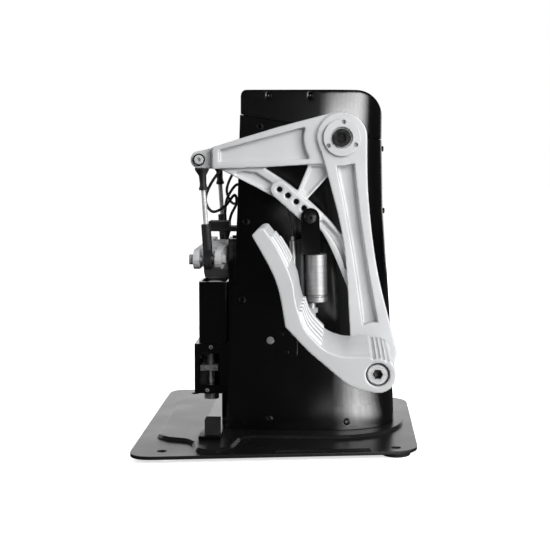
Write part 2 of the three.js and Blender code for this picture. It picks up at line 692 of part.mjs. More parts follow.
function brakeClevis() {
  const cheek = new THREE.Shape();
  cheek.moveTo(-CLEVIS_HALF_WIDTH, CLEVIS_FOOT_Z);
  cheek.lineTo(CLEVIS_HALF_WIDTH, CLEVIS_FOOT_Z);
  cheek.absarc(0, 0, CLEVIS_HALF_WIDTH, 0, Math.PI, false);
  cheek.closePath();
  const bridge = new THREE.Shape();
  bridge.moveTo(-CLEVIS_HALF_WIDTH, CLEVIS_FOOT_Z);
  bridge.lineTo(CLEVIS_HALF_WIDTH, CLEVIS_FOOT_Z);
  bridge.lineTo(CLEVIS_HALF_WIDTH, CLEVIS_FOOT_Z + 7);
  bridge.lineTo(-CLEVIS_HALF_WIDTH, CLEVIS_FOOT_Z + 7);
  bridge.closePath();
  return body(
    [
      sideSlab(cheek, BRAKE_PLANE + CLEVIS_INNER, BRAKE_PLANE + CLEVIS_OUTER),
      sideSlab(cheek, BRAKE_PLANE - CLEVIS_OUTER, BRAKE_PLANE - CLEVIS_INNER),
      sideSlab(bridge, BRAKE_PLANE - CLEVIS_OUTER, BRAKE_PLANE + CLEVIS_OUTER),
    ],
    [sideBar(CLEVIS_BOLT_RADIUS + GAP, 70, 120, 0, 0, SMALL_CIRCLE_STEPS)],
  );
}

function brakeCylinder() {
  const top = CLEVIS_FOOT_Z - GAP;
  const shell = turned([
    [0, CYLINDER_FOOT_Z], [CYLINDER_RADIUS - 0.6, CYLINDER_FOOT_Z], [CYLINDER_RADIUS, CYLINDER_FOOT_Z + 0.6],
    [CYLINDER_RADIUS, top - 0.6], [CYLINDER_RADIUS - 0.6, top], [0, top],
  ], 24);
  const bore = uprightBar(6, CYLINDER_FOOT_Z - 1, top - 10, 0, 0, 20);
  return body([shell], [bore]).translate(0, -BRAKE_PLANE, 0);
}

function brakeRod() {
  const piston = uprightBar(5.5, CYLINDER_FOOT_Z + 20, CYLINDER_FOOT_Z + 26, 0, 0, 24);
  const rod = uprightBar(3, -BRAKE_LENGTH + 4, CYLINDER_FOOT_Z + 21, 0, 0);
  const nut = uprightBar(4.6, CYLINDER_FOOT_Z - 9, CYLINDER_FOOT_Z - 5, 0, 0, 6);
  const eye = sideBar(7, -4, 4, 0, -BRAKE_LENGTH, 20);
  const hole = sideBar(4.3, -9, 9, 0, -BRAKE_LENGTH, SMALL_CIRCLE_STEPS);
  return body([rod, piston, nut, eye], [hole]).translate(0, -BRAKE_PLANE, 0);
}

/** A slim position sensor clamped beside the cylinder. */
function brakeSensor() {
  const radius = 7.2;
  const profile = [
    [0, -78], [radius - 0.8, -78], [radius, -77], [radius, -19], [radius - 0.8, -18], [2.6, -18],
    [2, -14], [0, -14],
  ];
  return turned(profile, 20).translate(-CYLINDER_RADIUS - radius - GAP, -BRAKE_PLANE, 0);
}

// ---- Pedal (left side) --------------------------------------------------------------------------

/** The tread in side view, from the toe down through the hollow to the heel. */
const TREAD = [
  [-57.8, -71], [-49.8, -82.5], [-42.6, -96.4], [-37, -111], [-35, -124], [-32, -135],
  [-27.7, -146], [-20.5, -155], [-11.4, -162.8], [0, -167], [12, -167.6], [28.5, -167.3],
];
const treadCurve = new THREE.SplineCurve(vectors(TREAD));

/** Points of the tread between two shares of its length, moved down into the pedal by depth. */
function treadPoints(from, to, depth, count) {
  const points = [];
  for (let i = 0; i <= count; i += 1) {
    const share = from + (to - from) * i / count;
    const tangent = treadCurve.getTangentAt(share);
    const point = treadCurve.getPointAt(share);
    points.push([point.x + tangent.y * depth, point.y - tangent.x * depth]);
  }
  return points;
}

function pedalSide() {
  const shape = new THREE.Shape();
  shape.moveTo(-68.6, -74.5);
  shape.splineThru(vectors([[-50, -110], [-42.8, -145]]));
  shape.lineTo(-24.8, -164);
  shape.lineTo(-0.6, -184.7);
  shape.quadraticCurveTo(8, -193, 24, HEEL.z - 13.5);
  shape.absarc(HEEL.x, HEEL.z, BARREL_RADIUS, -1.89, Math.PI / 2, false);
  for (const [x, z] of treadPoints(0, 1, 0, 18).reverse()) shape.lineTo(x, z);
  shape.quadraticCurveTo(-59, -67.5, -64, -70);
  shape.closePath();
  return shape;
}

/** The hollow under the tread, between the side walls. */
function pedalHollow() {
  const roof = treadPoints(0.03, 0.8, TREAD_THICKNESS, 10);
  return polygon([...roof.reverse(), [-90, -80], [-70, -180], [-10, -210], [4, -190]]);
}

const RIB_HEIGHT = 1.4;
const RIB_COUNT = 5;
const RIB_WIDTH = 9;

/** Lengthwise ribs on the tread between two shares of its length. */
function treadRibs(from, to) {
  const foot = treadPoints(from, to, 1, 4);
  const crest = treadPoints(from, to, -RIB_HEIGHT, 4);
  const outline = polygon([...foot, ...crest.reverse()]);
  const pitch = (PEDAL_FAR - PEDAL_NEAR) / RIB_COUNT;
  return Array.from({ length: RIB_COUNT }, (_, i) => {
    const middle = PEDAL_NEAR + (i + 0.5) * pitch;
    return sideSlab(outline, middle - RIB_WIDTH / 2, middle + RIB_WIDTH / 2);
  });
}

/** Cross grooves over the heel barrel. */
function heelGrooves() {
  return [100, 82, 64, 46].map((degrees) => {
    const angle = THREE.MathUtils.degToRad(degrees);
    const [x, z] = [HEEL.x + BARREL_RADIUS * Math.cos(angle), HEEL.z + BARREL_RADIUS * Math.sin(angle)];
    return sideBar(1.2, PEDAL_NEAR + 4, PEDAL_FAR - 4, x, z, 8);
  });
}

const PEDAL_BORE_DEPTH = 10.6; // the round recess that takes the heel bolt's head

function pedal() {
  // The inner corner of the toe is cut away on a slant.
  const cornerCut = crossSlab(polygon([[-100, -118], [-112, -118], [-168, -60], [-100, -60]]), -90, 0);
  const pin = sideBar(3, 90, PEDAL_NEAR + 2, BRAKE_PIN.x, BRAKE_PIN.z, SMALL_CIRCLE_STEPS);
  return body(
    [sideSlab(pedalSide(), PEDAL_NEAR, PEDAL_FAR), ...treadRibs(0.48, 0.68), ...treadRibs(0.04, 0.22), pin],
    [
      sideSlab(pedalHollow(), PEDAL_NEAR + PEDAL_WALL, PEDAL_FAR - PEDAL_WALL),
      cornerCut,
      ...heelGrooves(),
      sideBar(HEEL_BOLT_RADIUS + GAP, 100, 230, HEEL.x, HEEL.z),
      sideBar(9.2, PEDAL_FAR - PEDAL_BORE_DEPTH, 230, HEEL.x, HEEL.z),
    ],
  );
}

// ---- Assembly -----------------------------------------------------------------------------------

function addGround(parent) {
  mesh("base_plate", basePlate(), basePaint, parent);
  for (const [end, [x, y]] of Object.entries(FEET)) {
    for (const [side, sign] of [["left", -1], ["right", 1]]) {
      mesh(`foot_${end}_${side}`, foot(), rubber, parent).position.set(x, sign * y, 0);
    }
  }
}

function addTower(parent) {
  mesh("tower_shell", towerShell(), blackPaint, parent);
  mesh("tower_cap", towerCap(), blackPaint, parent);
  mesh("rear_panel", rearPanel(), blackPaint, parent);
  mesh("inner_frame", innerFrame(), darkSteel, parent);
  mesh("main_axle", mainAxle(), steel, parent);
  mesh("mechanism_frame", mechanismFrame(), blackPaint, parent);
  mesh("usb_socket", usbSocket(), blackPlastic, parent);
  mesh("sensor_board", sensorBoard(), blackPlastic, parent);
  mesh("controller_board", controllerBoard(), greenBoard, parent);
  mesh("sensor_wire_left", wire(LEFT_WIRE, 1.3), rubber, parent);
  mesh("sensor_wire_right", wire(RIGHT_WIRE, 1.3), rubber, parent);
}

function addCentring(parent) {
  const rocker = new THREE.Group();
  rocker.position.set(ROCKER.x, 0, ROCKER.z);
  parent.add(rocker);
  mesh("rocker_beam", rockerBeam(), castAluminium, rocker);
  mesh("fork_bolt_left", forkBolt(), steel, rocker).position.y = -ROCKER_HALF_LENGTH;
  mesh("fork_bolt_right", forkBolt(), steel, rocker).position.y = ROCKER_HALF_LENGTH;
  mesh("rocker_shaft", crossBar(ROCKER_SHAFT_RADIUS, -14, 27, 0, 0, CIRCLE_STEPS), steel, rocker);
  mesh("pivot_block", pivotBlock(), castAluminium, rocker);
  mesh("spring_housing", springHousing(), blackPaint, parent);
  mesh("centring_spring", centringSpring(), steel, parent).position.set(UNIT_X, 0, -187);
  mesh("spring_plunger", springPlunger(), steel, parent).position.set(UNIT_X, 0, -136);
  mesh("adjuster_block", adjusterBlock(), blackPaint, parent);
  for (const [side, sign] of [["left", -1], ["right", 1]]) {
    mesh(`guide_rod_${side}`, guideRod(), steel, parent).position.set(SCREW_X, sign * GUIDE_ROD_OFFSET, 0);
  }
  mesh("preload_screw", preloadScrew(), steel, parent).position.set(SCREW_X, 0, 0);
  mesh("preload_seat", preloadSeat(), steel, parent).position.set(SCREW_X, 0, 0);
}

function hangingGroup(pivot, lean, parent) {
  const group = new THREE.Group();
  group.position.set(pivot.x, 0, pivot.z);
  group.rotation.y = lean;
  parent.add(group);
  return group;
}

/** Everything of one side, drawn on the left. The right side is its mirror image. */
function addSide(side, parent) {
  const group = new THREE.Group();
  group.scale.y = side === "left" ? 1 : -1;
  parent.add(group);
  mesh(`pendulum_arm_${side}`, pendulumArm(), castAluminium, group);
  mesh(`hub_bearing_${side}`, hubBearing(), steel, group);
  mesh(`bearing_flange_${side}`, bearingFlange(), castAluminium, group);
  mesh(`axle_bolt_${side}`, axleBolt(), darkSteel, group);
  mesh(`rear_pivot_bolt_${side}`, rearPivotBolt(), steel, group).position.set(REAR_PIVOT.x, 0, REAR_PIVOT.z);
  mesh(`clevis_bolt_${side}`, clevisBolt(), darkSteel, group).position.set(BRAKE_TOP.x, 0, BRAKE_TOP.z);
  mesh(`heel_bolt_${side}`, heelBolt(), steel, group).position.set(HEEL.x, 0, HEEL.z);
  mesh(`pedal_${side}`, pedal(), castAluminium, group);

  const link = hangingGroup(REAR_PIVOT, LINK_LEAN, group);
  mesh(`upper_rod_end_${side}`, upperRodEnd(), blackPlastic, link);
  mesh(`link_rod_${side}`, linkRod(), steel, link);
  mesh(`lower_rod_end_${side}`, lowerRodEnd(), blackPlastic, link);

  const brake = hangingGroup(BRAKE_TOP, BRAKE_LEAN, group);
  mesh(`brake_clevis_${side}`, brakeClevis(), blackPaint, brake);
  mesh(`brake_cylinder_${side}`, brakeCylinder(), darkSteel, brake);
  mesh(`brake_rod_${side}`, brakeRod(), steel, brake);
  mesh(`brake_sensor_${side}`, brakeSensor(), blackPlastic, brake);
}

const rudderPedals = new THREE.Group();
addGround(rudderPedals);
const aroundAxle = new THREE.Group();
aroundAxle.position.set(AXLE_X, 0, AXLE_Z);
rudderPedals.add(aroundAxle);
addTower(aroundAxle);
addCentring(aroundAxle);
addSide("left", aroundAxle);
addSide("right", aroundAxle);

export default rudderPedals;
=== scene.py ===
"""Looks of the hanging rudder pedals: finer pieces, materials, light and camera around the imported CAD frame.

Lengths inside the shape functions are millimetres from the middle of the main axle, and the left side
is -Y. PLACE turns them into metres in the CAD frame.
"""

import json
import math

import bmesh
import bpy
from mathutils import Euler, Matrix, Vector


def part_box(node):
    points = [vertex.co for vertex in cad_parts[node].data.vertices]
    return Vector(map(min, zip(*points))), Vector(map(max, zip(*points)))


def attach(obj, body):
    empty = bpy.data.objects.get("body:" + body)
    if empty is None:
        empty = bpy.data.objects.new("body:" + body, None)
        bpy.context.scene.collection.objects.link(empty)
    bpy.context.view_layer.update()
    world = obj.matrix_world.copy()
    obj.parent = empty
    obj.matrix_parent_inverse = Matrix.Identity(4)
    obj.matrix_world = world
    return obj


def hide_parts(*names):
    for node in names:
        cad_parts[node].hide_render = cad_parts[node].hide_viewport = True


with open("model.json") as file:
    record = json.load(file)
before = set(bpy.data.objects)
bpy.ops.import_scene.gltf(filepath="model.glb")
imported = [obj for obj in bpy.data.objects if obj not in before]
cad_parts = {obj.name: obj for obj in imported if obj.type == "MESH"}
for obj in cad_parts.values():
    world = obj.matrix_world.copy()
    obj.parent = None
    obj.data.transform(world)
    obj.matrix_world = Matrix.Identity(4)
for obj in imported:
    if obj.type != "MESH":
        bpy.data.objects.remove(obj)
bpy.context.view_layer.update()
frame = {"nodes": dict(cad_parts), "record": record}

MM = 0.001
scene = bpy.context.scene


def middle(node):
    low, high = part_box(node)
    return (low + high) / 2


AXLE = middle("main_axle")
PLACE = Matrix.Translation(AXLE) @ Matrix.Scale(MM, 4)


def from_axle(point):
    """A point in metres as millimetres from the middle of the axle."""
    return (point - AXLE) / MM


def side_point(node):
    """The middle of a CAD node in the side view."""
    return tuple(from_axle(middle(node)))[::2]


def add_object(name, data):
    thing = bpy.data.objects.new(name, data)
    scene.collection.objects.link(thing)
    return thing


def add_modifier(thing, kind, **settings):
    modifier = thing.modifiers.new(kind.lower(), kind)
    for name, value in settings.items():
        setattr(modifier, name, value)


def set_sockets(node, **values):
    """Sets input sockets by name, with an underscore for each space."""
    for socket, value in values.items():
        node.inputs[socket.replace("_", " ")].default_value = value
    return node


def add_node(tree, kind, **values):
    return set_sockets(tree.nodes.new("ShaderNode" + kind), **values)


# ---- Materials ----


class Shader:
    """A Principled material and short ways to add the nodes that drive it."""

    def __init__(self, name, **sockets):
        self.material = bpy.data.materials.new(name)
        self.material.use_nodes = True
        self.tree = self.material.node_tree
        self.links = self.tree.links
        self.shader = set_sockets(self.tree.nodes["Principled BSDF"], **sockets)
        self.place = add_node(self.tree, "TexCoord").outputs["Object"]

    def noise(self, scale, detail=2.0, stretch=None):
        """Noise with that many lumps per metre; stretch scales each axis."""
        texture = add_node(self.tree, "TexNoise", Scale=scale, Detail=detail)
        place = self.place
        if stretch:
            mapping = add_node(self.tree, "Mapping", Scale=stretch)
            self.links.new(place, mapping.inputs["Vector"])
            place = mapping.outputs["Vector"]
        self.links.new(place, texture.inputs["Vector"])
        return texture.outputs["Fac"]

    def spread(self, value, low, high, from_low=0.35, from_high=0.65):
        """The value stretched to run from low to high. Most noise lies between 0.35 and 0.65."""
        ranged = add_node(self.tree, "MapRange", From_Min=from_low, From_Max=from_high)
        set_sockets(ranged, To_Min=low, To_Max=high)
        self.links.new(value, ranged.inputs["Value"])
        return ranged.outputs["Result"]

    def mix(self, factor, first, second):
        mixed = add_node(self.tree, "Mix")
        mixed.data_type = "RGBA"
        self.links.new(factor, mixed.inputs["Factor"])
        for socket, colour in (("A", first), ("B", second)):
            target = [s for s in mixed.inputs if s.name == socket and s.type == "RGBA"][0]
            if isinstance(colour, tuple):
                target.default_value = (*colour, 1)
            else:
                self.links.new(colour, target)
        return [s for s in mixed.outputs if s.type == "RGBA"][0]

    def patches(self, low, high, scale, detail, stretch=None):
        """A colour that wanders between two, in lumps."""
        return self.mix(self.spread(self.noise(scale, detail, stretch), 0, 1), low, high)

    def worn_edges(self, sharp=0.53, full=0.6):
        """1 on sharp outer edges, 0 elsewhere, broken up by noise."""
        pointiness = add_node(self.tree, "NewGeometry").outputs["Pointiness"]
        edge = self.spread(pointiness, 0, 1, sharp, full)
        broken = add_node(self.tree, "Math")
        broken.operation = "MULTIPLY"
        self.links.new(edge, broken.inputs[0])
        self.links.new(self.spread(self.noise(260, 4), 0.1, 1, 0.4, 0.6), broken.inputs[1])
        return broken.outputs["Value"]

    def colour(self, source):
        self.links.new(source, self.shader.inputs["Base Color"])

    def roughness(self, low, high, scale, detail, stretch=None):
        value = self.spread(self.noise(scale, detail, stretch), low, high)
        self.links.new(value, self.shader.inputs["Roughness"])

    def bump(self, source, height_mm):
        bump = add_node(self.tree, "Bump", Distance=height_mm * MM)
        self.links.new(source, bump.inputs["Height"])
        self.links.new(bump.outputs["Normal"], self.shader.inputs["Normal"])


def cast_aluminium():
    """Bead-blasted casting with a thin satin clear coat."""
    metal = Shader("cast_aluminium", Metallic=0.15, Coat_Weight=0.1, Coat_Roughness=0.3)
    body = metal.patches((0.5, 0.505, 0.515), (0.55, 0.555, 0.56), 28, 3)
    metal.colour(metal.mix(metal.worn_edges(0.56, 0.66), body, (0.64, 0.64, 0.64)))
    metal.roughness(0.38, 0.5, 600, 3)
    metal.bump(metal.noise(1400), 0.02)
    return metal


def black_paint():
    """Smooth satin powder coat on sheet metal."""
    paint = Shader("black_paint", Specular_IOR_Level=0.8)
    body = paint.patches((0.0012, 0.0012, 0.0014), (0.002, 0.002, 0.0023), 18, 3)
    paint.colour(paint.mix(paint.worn_edges(0.62, 0.75), body, (0.03, 0.03, 0.033)))
    paint.roughness(0.14, 0.17, 30, 3)
    paint.bump(paint.noise(160), 0.003)
    return paint


def base_paint():
    """The plate's coat, less glossy than the tower's, with faint handling marks."""
    paint = Shader("base_paint", Coat_Weight=0.4, Coat_Roughness=0.24)
    body = paint.patches((0.006, 0.006, 0.0065), (0.009, 0.009, 0.0095), 14, 3)
    paint.colour(paint.mix(paint.worn_edges(0.6, 0.72), body, (0.02, 0.02, 0.022)))
    paint.roughness(0.27, 0.32, 25, 4)
    paint.bump(paint.noise(160), 0.003)
    return paint


def black_plastic():
    """Moulded plastic with a fine spark-eroded grain."""
    plastic = Shader("black_plastic")
    plastic.colour(plastic.patches((0.008, 0.008, 0.009), (0.016, 0.016, 0.018), 60, 3))
    plastic.roughness(0.42, 0.6, 1200, 2)
    plastic.bump(plastic.noise(4200), 0.04)
    return plastic


def bright_steel():
    """Turned and ground steel with fine round-and-round scratches."""
    steel = Shader("bright_steel", Metallic=0.35)
    steel.colour(steel.patches((0.5, 0.505, 0.51), (0.62, 0.62, 0.625), 120, 3))
    steel.roughness(0.26, 0.38, 300, 2, (1, 1, 9))
    steel.bump(steel.noise(900, 1, (1, 1, 6)), 0.002)
    return steel


def dark_steel():
    """Blackened steel, rubbed a little brighter on its edges."""
    steel = Shader("dark_steel", Metallic=0.4)
    body = steel.patches((0.004, 0.004, 0.0045), (0.008, 0.008, 0.009), 90, 3)
    steel.colour(steel.mix(steel.worn_edges(0.58, 0.7), body, (0.025, 0.025, 0.027)))
    steel.roughness(0.28, 0.4, 800, 3)
    steel.bump(steel.noise(1500), 0.006)
    return steel


def cylinder_anodising():
    """Anodised tube, turned on a lathe, with satin rings."""
    tube = Shader("cylinder_anodising", Metallic=0.9)
    body = tube.patches((0.28, 0.28, 0.285), (0.34, 0.34, 0.345), 60, 2, (1, 1, 8))
    tube.colour(tube.mix(tube.worn_edges(), body, (0.4, 0.4, 0.41)))
    tube.roughness(0.36, 0.44, 200, 2, (1, 1, 10))
    tube.bump(tube.noise(700, 1, (0.2, 0.2, 3)), 0.002)
    return tube


def foot_rubber():
    """Dull rubber with a coarse grain."""
    rubber = Shader("foot_rubber")
    rubber.colour(rubber.patches((0.01, 0.01, 0.01), (0.022, 0.022, 0.022), 90, 3))
    rubber.roughness(0.65, 0.9, 700, 3)
    rubber.bump(rubber.noise(1800, 3), 0.08)
    return rubber


def cable_rubber():
    """A wire's smooth black jacket."""
    rubber = Shader("cable_rubber")
    rubber.colour(rubber.patches((0.008, 0.008, 0.009), (0.018, 0.018, 0.02), 200, 2))
    rubber.roughness(0.35, 0.5, 900, 2)
    rubber.bump(rubber.noise(2600), 0.03)
    return rubber


def circuit_board():
    """Solder mask over a faint pattern of tracks."""
    board = Shader("circuit_board", Coat_Weight=0.3, Coat_Roughness=0.2)
    tracks = board.spread(board.noise(240, 0, (0.2, 1, 1)), 0, 1, 0.47, 0.53)
    board.colour(board.mix(tracks, (0.008, 0.05, 0.022), (0.015, 0.085, 0.04)))
    board.roughness(0.35, 0.5, 500, 2)
    board.bump(tracks, 0.04)
    return board


FINISHES = {
    make.__name__: make().material
    for make in (
        cast_aluminium, black_paint, base_paint, black_plastic, bright_steel, dark_steel,
        cylinder_anodising, foot_rubber, cable_rubber, circuit_board,
    )
}

# ---- Camera, light and floor ----


def add_camera():
    """The photo's view: level with the axle, 1.2 m to the left, looking slightly down and to the rear."""
    look_down, turn_to_rear = math.radians(5.96), math.radians(2.95)
    camera = add_object("camera", bpy.data.cameras.new("camera"))
    camera.data.lens = 84.6
    camera.location = (0.056, -1.202, 0.271)
    camera.rotation_euler = Euler((math.pi / 2 - look_down, 0, turn_to_rear))
    scene.camera = camera


def add_panel(name, place, target, size, radiance, glint=False):
    """A soft light panel of a given radiance. Glossy surfaces mirror the glints and no other panel."""
    lamp = bpy.data.lights.new(name, "AREA")
    lamp.shape = "RECTANGLE"
    lamp.size, lamp.size_y = size
    lamp.energy = radiance * math.pi * size[0] * size[1]
    light = add_object(name, lamp)
    light.location = place
    light.rotation_euler = (Vector(target) - Vector(place)).to_track_quat("-Z", "Y").to_euler()
    light.visible_camera = False
    light.visible_glossy = glint
    light.visible_diffuse = not glint
    return light


def fan(first, last, count):
    """Directions from one angle to another, in degrees from -Y towards +X, dimmer at both ends."""
    for i in range(count):
        share = min(1, (i + 0.7) / 3, (count - i - 0.3) / 3)
        angle = math.radians(first + (last - first) * i / (count - 1))
        yield i, angle, Vector((math.sin(angle), -math.cos(angle), 0)), share


def add_cap_glints():
    """Upright strips round the left front, which make the highlight on the cap."""
    distance, middle_of_row = 1.6, Vector((0, 0, 0.41))
    for i, _, outwards, share in fan(7, 87, 12):
        place = middle_of_row + outwards * distance
        add_panel(f"cap_glint_{i}", place, middle_of_row, (0.22, 0.18), 12 * share, glint=True)


def add_floor_glints():
    """Strips fanned out on the floor, which make the highlight on the tower's foot."""
    near, far = 0.15, 1.25
    nose = Vector((0.05, -0.04, 0.002))
    for i, angle, outwards, share in fan(13, 80, 9):
        place = nose + outwards * (near + far) / 2
        above = place + Vector((0, 0, 1))
        strip = add_panel(f"floor_glint_{i}", place, above, (far - near, 0.12), 4.3 * share, glint=True)
        strip.rotation_euler = (math.pi, 0, angle - math.pi / 2)


def add_lights():
    """Large soft panels light the object. Slim ones make its highlights."""
    centre = (0, 0, 0.2)
    for name, place, size, radiance in (
        ("key_front", (1.0, -1.25, 0.9), (1.4, 0.9), 11.5),
        ("key_right", (1.6, 0.1, 0.9), (1.1, 0.9), 2),
        ("overhead", (0.1, -0.2, 1.5), (1.2, 0.8), 1),
        ("left_fill", (-1.3, -1.2, 0.9), (0.7, 0.8), 3),
        ("rear_left", (-1.1, 1.2, 1.0), (0.9, 0.9), 9),
        ("rear_right", (1.0, 1.4, 1.0), (0.9, 0.9), 4),
    ):
        add_panel(name, place, centre, size, radiance)
    add_cap_glints()
    add_floor_glints()
    add_panel("low_glint", (0.69, -1.1, 0.065), (0, 0, 0.065), (0.9, 0.13), 5, glint=True)
    add_panel("left_glint", (-1.4, -0.6, 0.45), (0, 0, 0.45), (0.5, 0.7), 3, glint=True)
    add_panel("behind", (-0.2, 1.7, 0.3), (0, 0, 0.3), (2.4, 0.6), 1.15, glint=True)


def add_world():
    """A white backdrop for the camera, which is a dim grey for every other ray."""
    world = bpy.data.worlds.new("studio")
    world.use_nodes = True
    tree = world.node_tree
    background = set_sockets(tree.nodes["Background"], Color=(1, 1, 1, 1))
    path = add_node(tree, "LightPath")
    strength = add_node(tree, "MapRange", To_Min=0.025, To_Max=1.0)
    tree.links.new(path.outputs["Is Camera Ray"], strength.inputs["Value"])
    tree.links.new(strength.outputs["Result"], background.inputs["Strength"])
    scene.world = world
    scene.view_settings.view_transform = "Standard"


def floor_paint():
    """White, and glowing more with distance so that it meets the backdrop without a line. To rays other than
    the camera's it is nearly black, so it casts little light back at the object."""
    paint = Shader("floor", Base_Color=(0.9, 0.9, 0.9, 1), Roughness=0.9, Emission_Color=(1, 1, 1, 1))
    distance = add_node(paint.tree, "VectorMath")
    distance.operation = "LENGTH"
    paint.links.new(paint.place, distance.inputs[0])
    glow = paint.spread(distance.outputs["Value"], 0.7, 1, 0.3, 1.2)
    paint.links.new(glow, paint.shader.inputs["Emission Strength"])
    dark = add_node(paint.tree, "BsdfDiffuse", Color=(0.03, 0.03, 0.03, 1))
    either = add_node(paint.tree, "MixShader")
    is_camera_ray = add_node(paint.tree, "LightPath").outputs["Is Camera Ray"]
    for i, source in enumerate((is_camera_ray, dark.outputs[0], paint.shader.outputs[0])):
        paint.links.new(source, either.inputs[i])
    paint.links.new(either.outputs[0], paint.tree.nodes["Material Output"].inputs["Surface"])
    return paint


def add_floor():
    half = 6  # metres
    mesh = bpy.data.meshes.new("floor")
    corners = [(-half, -half, 0), (half, -half, 0), (half, half, 0), (-half, half, 0)]
    mesh.from_pydata(corners, [], [(0, 1, 2, 3)])
    mesh.materials.append(floor_paint().material)
    floor = add_object("floor", mesh)


add_camera()
add_lights()
add_world()
add_floor()

# ---- Outlines, as lists of 2D points ----

SAME_POINT = 1e-4  # points closer than this, in millimetres, are one


def on_circle(centre, radius, degrees):
    angle = math.radians(degrees)
    return (centre[0] + radius * math.cos(angle), centre[1] + radius * math.sin(angle))


def arc(centre, radius, start, end, steps=24):
    """Points from one angle to another, in degrees, anticlockwise if end is larger."""
    return [on_circle(centre, radius, start + (end - start) * i / steps) for i in range(steps + 1)]


def circle(centre, radius, steps=48):
    return arc(centre, radius, 0, 360, steps)[:-1]


def spline(points, steps=10):
    """A smooth curve through points."""
    curve = []
    for i in range(len(points) - 1):
        before, start, end, after = (points[min(max(k, 0), len(points) - 1)] for k in range(i - 1, i + 3))
        for step in range(steps):
            t = step / steps
            point = []
            for p0, p1, p2, p3 in zip(before, start, end, after):
                v1, v2 = (p2 - p0) / 2, (p3 - p1) / 2
                cubic = (2 * p1 - 2 * p2 + v1 + v2) * t**3 + (-3 * p1 + 3 * p2 - 2 * v1 - v2) * t**2
                point.append(cubic + v1 * t + p1)
            curve.append(tuple(point))
    return curve + [tuple(points[-1])]


def bend(start, control, end, steps=12):
    """A quadratic curve from start to end."""
    return [
        tuple((1 - t) ** 2 * a + 2 * t * (1 - t) * b + t * t * c for a, b, c in zip(start, control, end))
        for t in (i / steps for i in range(steps + 1))
    ]


def stadium(first, last, radius, steps=16):
    """A slot round two points, with round ends."""
    along = math.degrees(math.atan2(last[1] - first[1], last[0] - first[0]))
    last_end = arc(last, radius, along - 90, along + 90, steps)
    return last_end + arc(first, radius, along + 90, along + 270, steps)


def corner_bend(before, corner, after, rounding, steps):
    """The curve that rounds one corner, over that length of each side."""
    here = Vector(corner)
    start = here + (Vector(before) - here).normalized() * rounding
    end = here + (Vector(after) - here).normalized() * rounding
    return bend(tuple(start), tuple(here), tuple(end), steps)


def rounded(corners, rounding, steps=8):
    """A closed outline with rounded corners."""
    outline = []
    for i, corner in enumerate(corners):
        outline += corner_bend(corners[i - 1], corner, corners[(i + 1) % len(corners)], rounding, steps)
    return outline


def rounded_open(corners, rounding, steps=5):
    """An open line with rounded corners between its two ends."""
    line = [corners[0]]
    for before, corner, after in zip(corners, corners[1:], corners[2:]):
        line += corner_bend(before, corner, after, rounding, steps)
    return line + [corners[-1]]


def end_to_end(curves):
    """One closed outline from curves that each start where the one before ended."""
    return [point for curve in curves for point in curve[:-1]]


def distinct(outline):
    """The outline without points that repeat the one before."""
    return [p for i, p in enumerate(outline) if math.dist(p, outline[i - 1]) > SAME_POINT]


def rectangle(x_low, x_high, z_low, z_high):
    return [(x_low, z_low), (x_high, z_low), (x_high, z_high), (x_low, z_high)]


def widened(outline, distance):
    """The outline moved outwards by distance, corner by corner. Negative moves it inwards."""
    clean = distinct(outline)
    area = sum(a[0] * b[1] - b[0] * a[1] for a, b in zip(clean, clean[1:] + clean[:1]))
    outwards = 1 if area > 0 else -1
    moved = []
    for i, point in enumerate(clean):
        before, after = Vector(clean[i - 1]), Vector(clean[(i + 1) % len(clean)])
        point = Vector(point)
        normals = []
        for edge in (point - before, after - point):
            normals.append(Vector((edge.y, -edge.x)).normalized() * outwards)
        mean = (normals[0] + normals[1]).normalized()
        moved.append(tuple(point + mean * distance / max(mean.dot(normals[0]), 0.5)))
    return moved


# ---- Solids, as meshes in millimetres ----

# A point from two coordinates of an outline and a third along the named axis.
ACROSS = {
    "x": lambda u, v, w: (w, u, v),
    "y": lambda u, v, w: (u, w, v),
    "z": lambda u, v, w: (u, v, w),
}


def mesh_from(vertices, faces):
    mesh = bpy.data.meshes.new("shape")
    mesh.from_pydata(vertices, [], faces)
    tidy = bmesh.new()
    tidy.from_mesh(mesh)
    bmesh.ops.remove_doubles(tidy, verts=tidy.verts, dist=SAME_POINT)
    bmesh.ops.recalc_face_normals(tidy, faces=tidy.faces)
    tidy.to_mesh(mesh)
    tidy.free()
    return mesh


def lofted(rings):
    """Skins closed rings of equal count and closes both ends."""
    count = len(rings[0])
    faces = [tuple(reversed(range(count)))]
    for level in range(len(rings) - 1):
        for i in range(count):
            a, b = level * count + i, level * count + (i + 1) % count
            faces.append((a, b, b + count, a + count))
    faces.append(tuple(range((len(rings) - 1) * count, len(rings) * count)))
    return mesh_from([point for outline in rings for point in outline], faces)


def prism(outline, low, high, across="y"):
    """An outline in the other two axes, given thickness across one axis."""
    corners = distinct(outline)
    return lofted([[ACROSS[across](u, v, w) for u, v in corners] for w in (low, high)])


def side(outline, near, far):
    """A side view given thickness on the left side, between two distances from the middle plane."""
    return prism(outline, -far, -near)


def turned(profile, along="z", centre=(0, 0), steps=48):
    """A solid of revolution from (radius, distance) points, round an axis through centre."""
    rings = []
    for radius, distance in profile:
        outline = circle(centre, max(radius, 1e-5), steps)
        rings.append([ACROSS[along](u, v, distance) for u, v in outline])
    return lofted(rings)


def side_turned(profile, centre=(0, 0), steps=48):
    """As turned, about an axis across the left side; distances count outwards from the middle plane."""
    return turned([(radius, -distance) for radius, distance in profile], "y", centre, steps)


def side_bar(radius, near, far, centre=(0, 0), steps=48):
    return side_turned([(radius, near), (radius, far)], centre, steps)


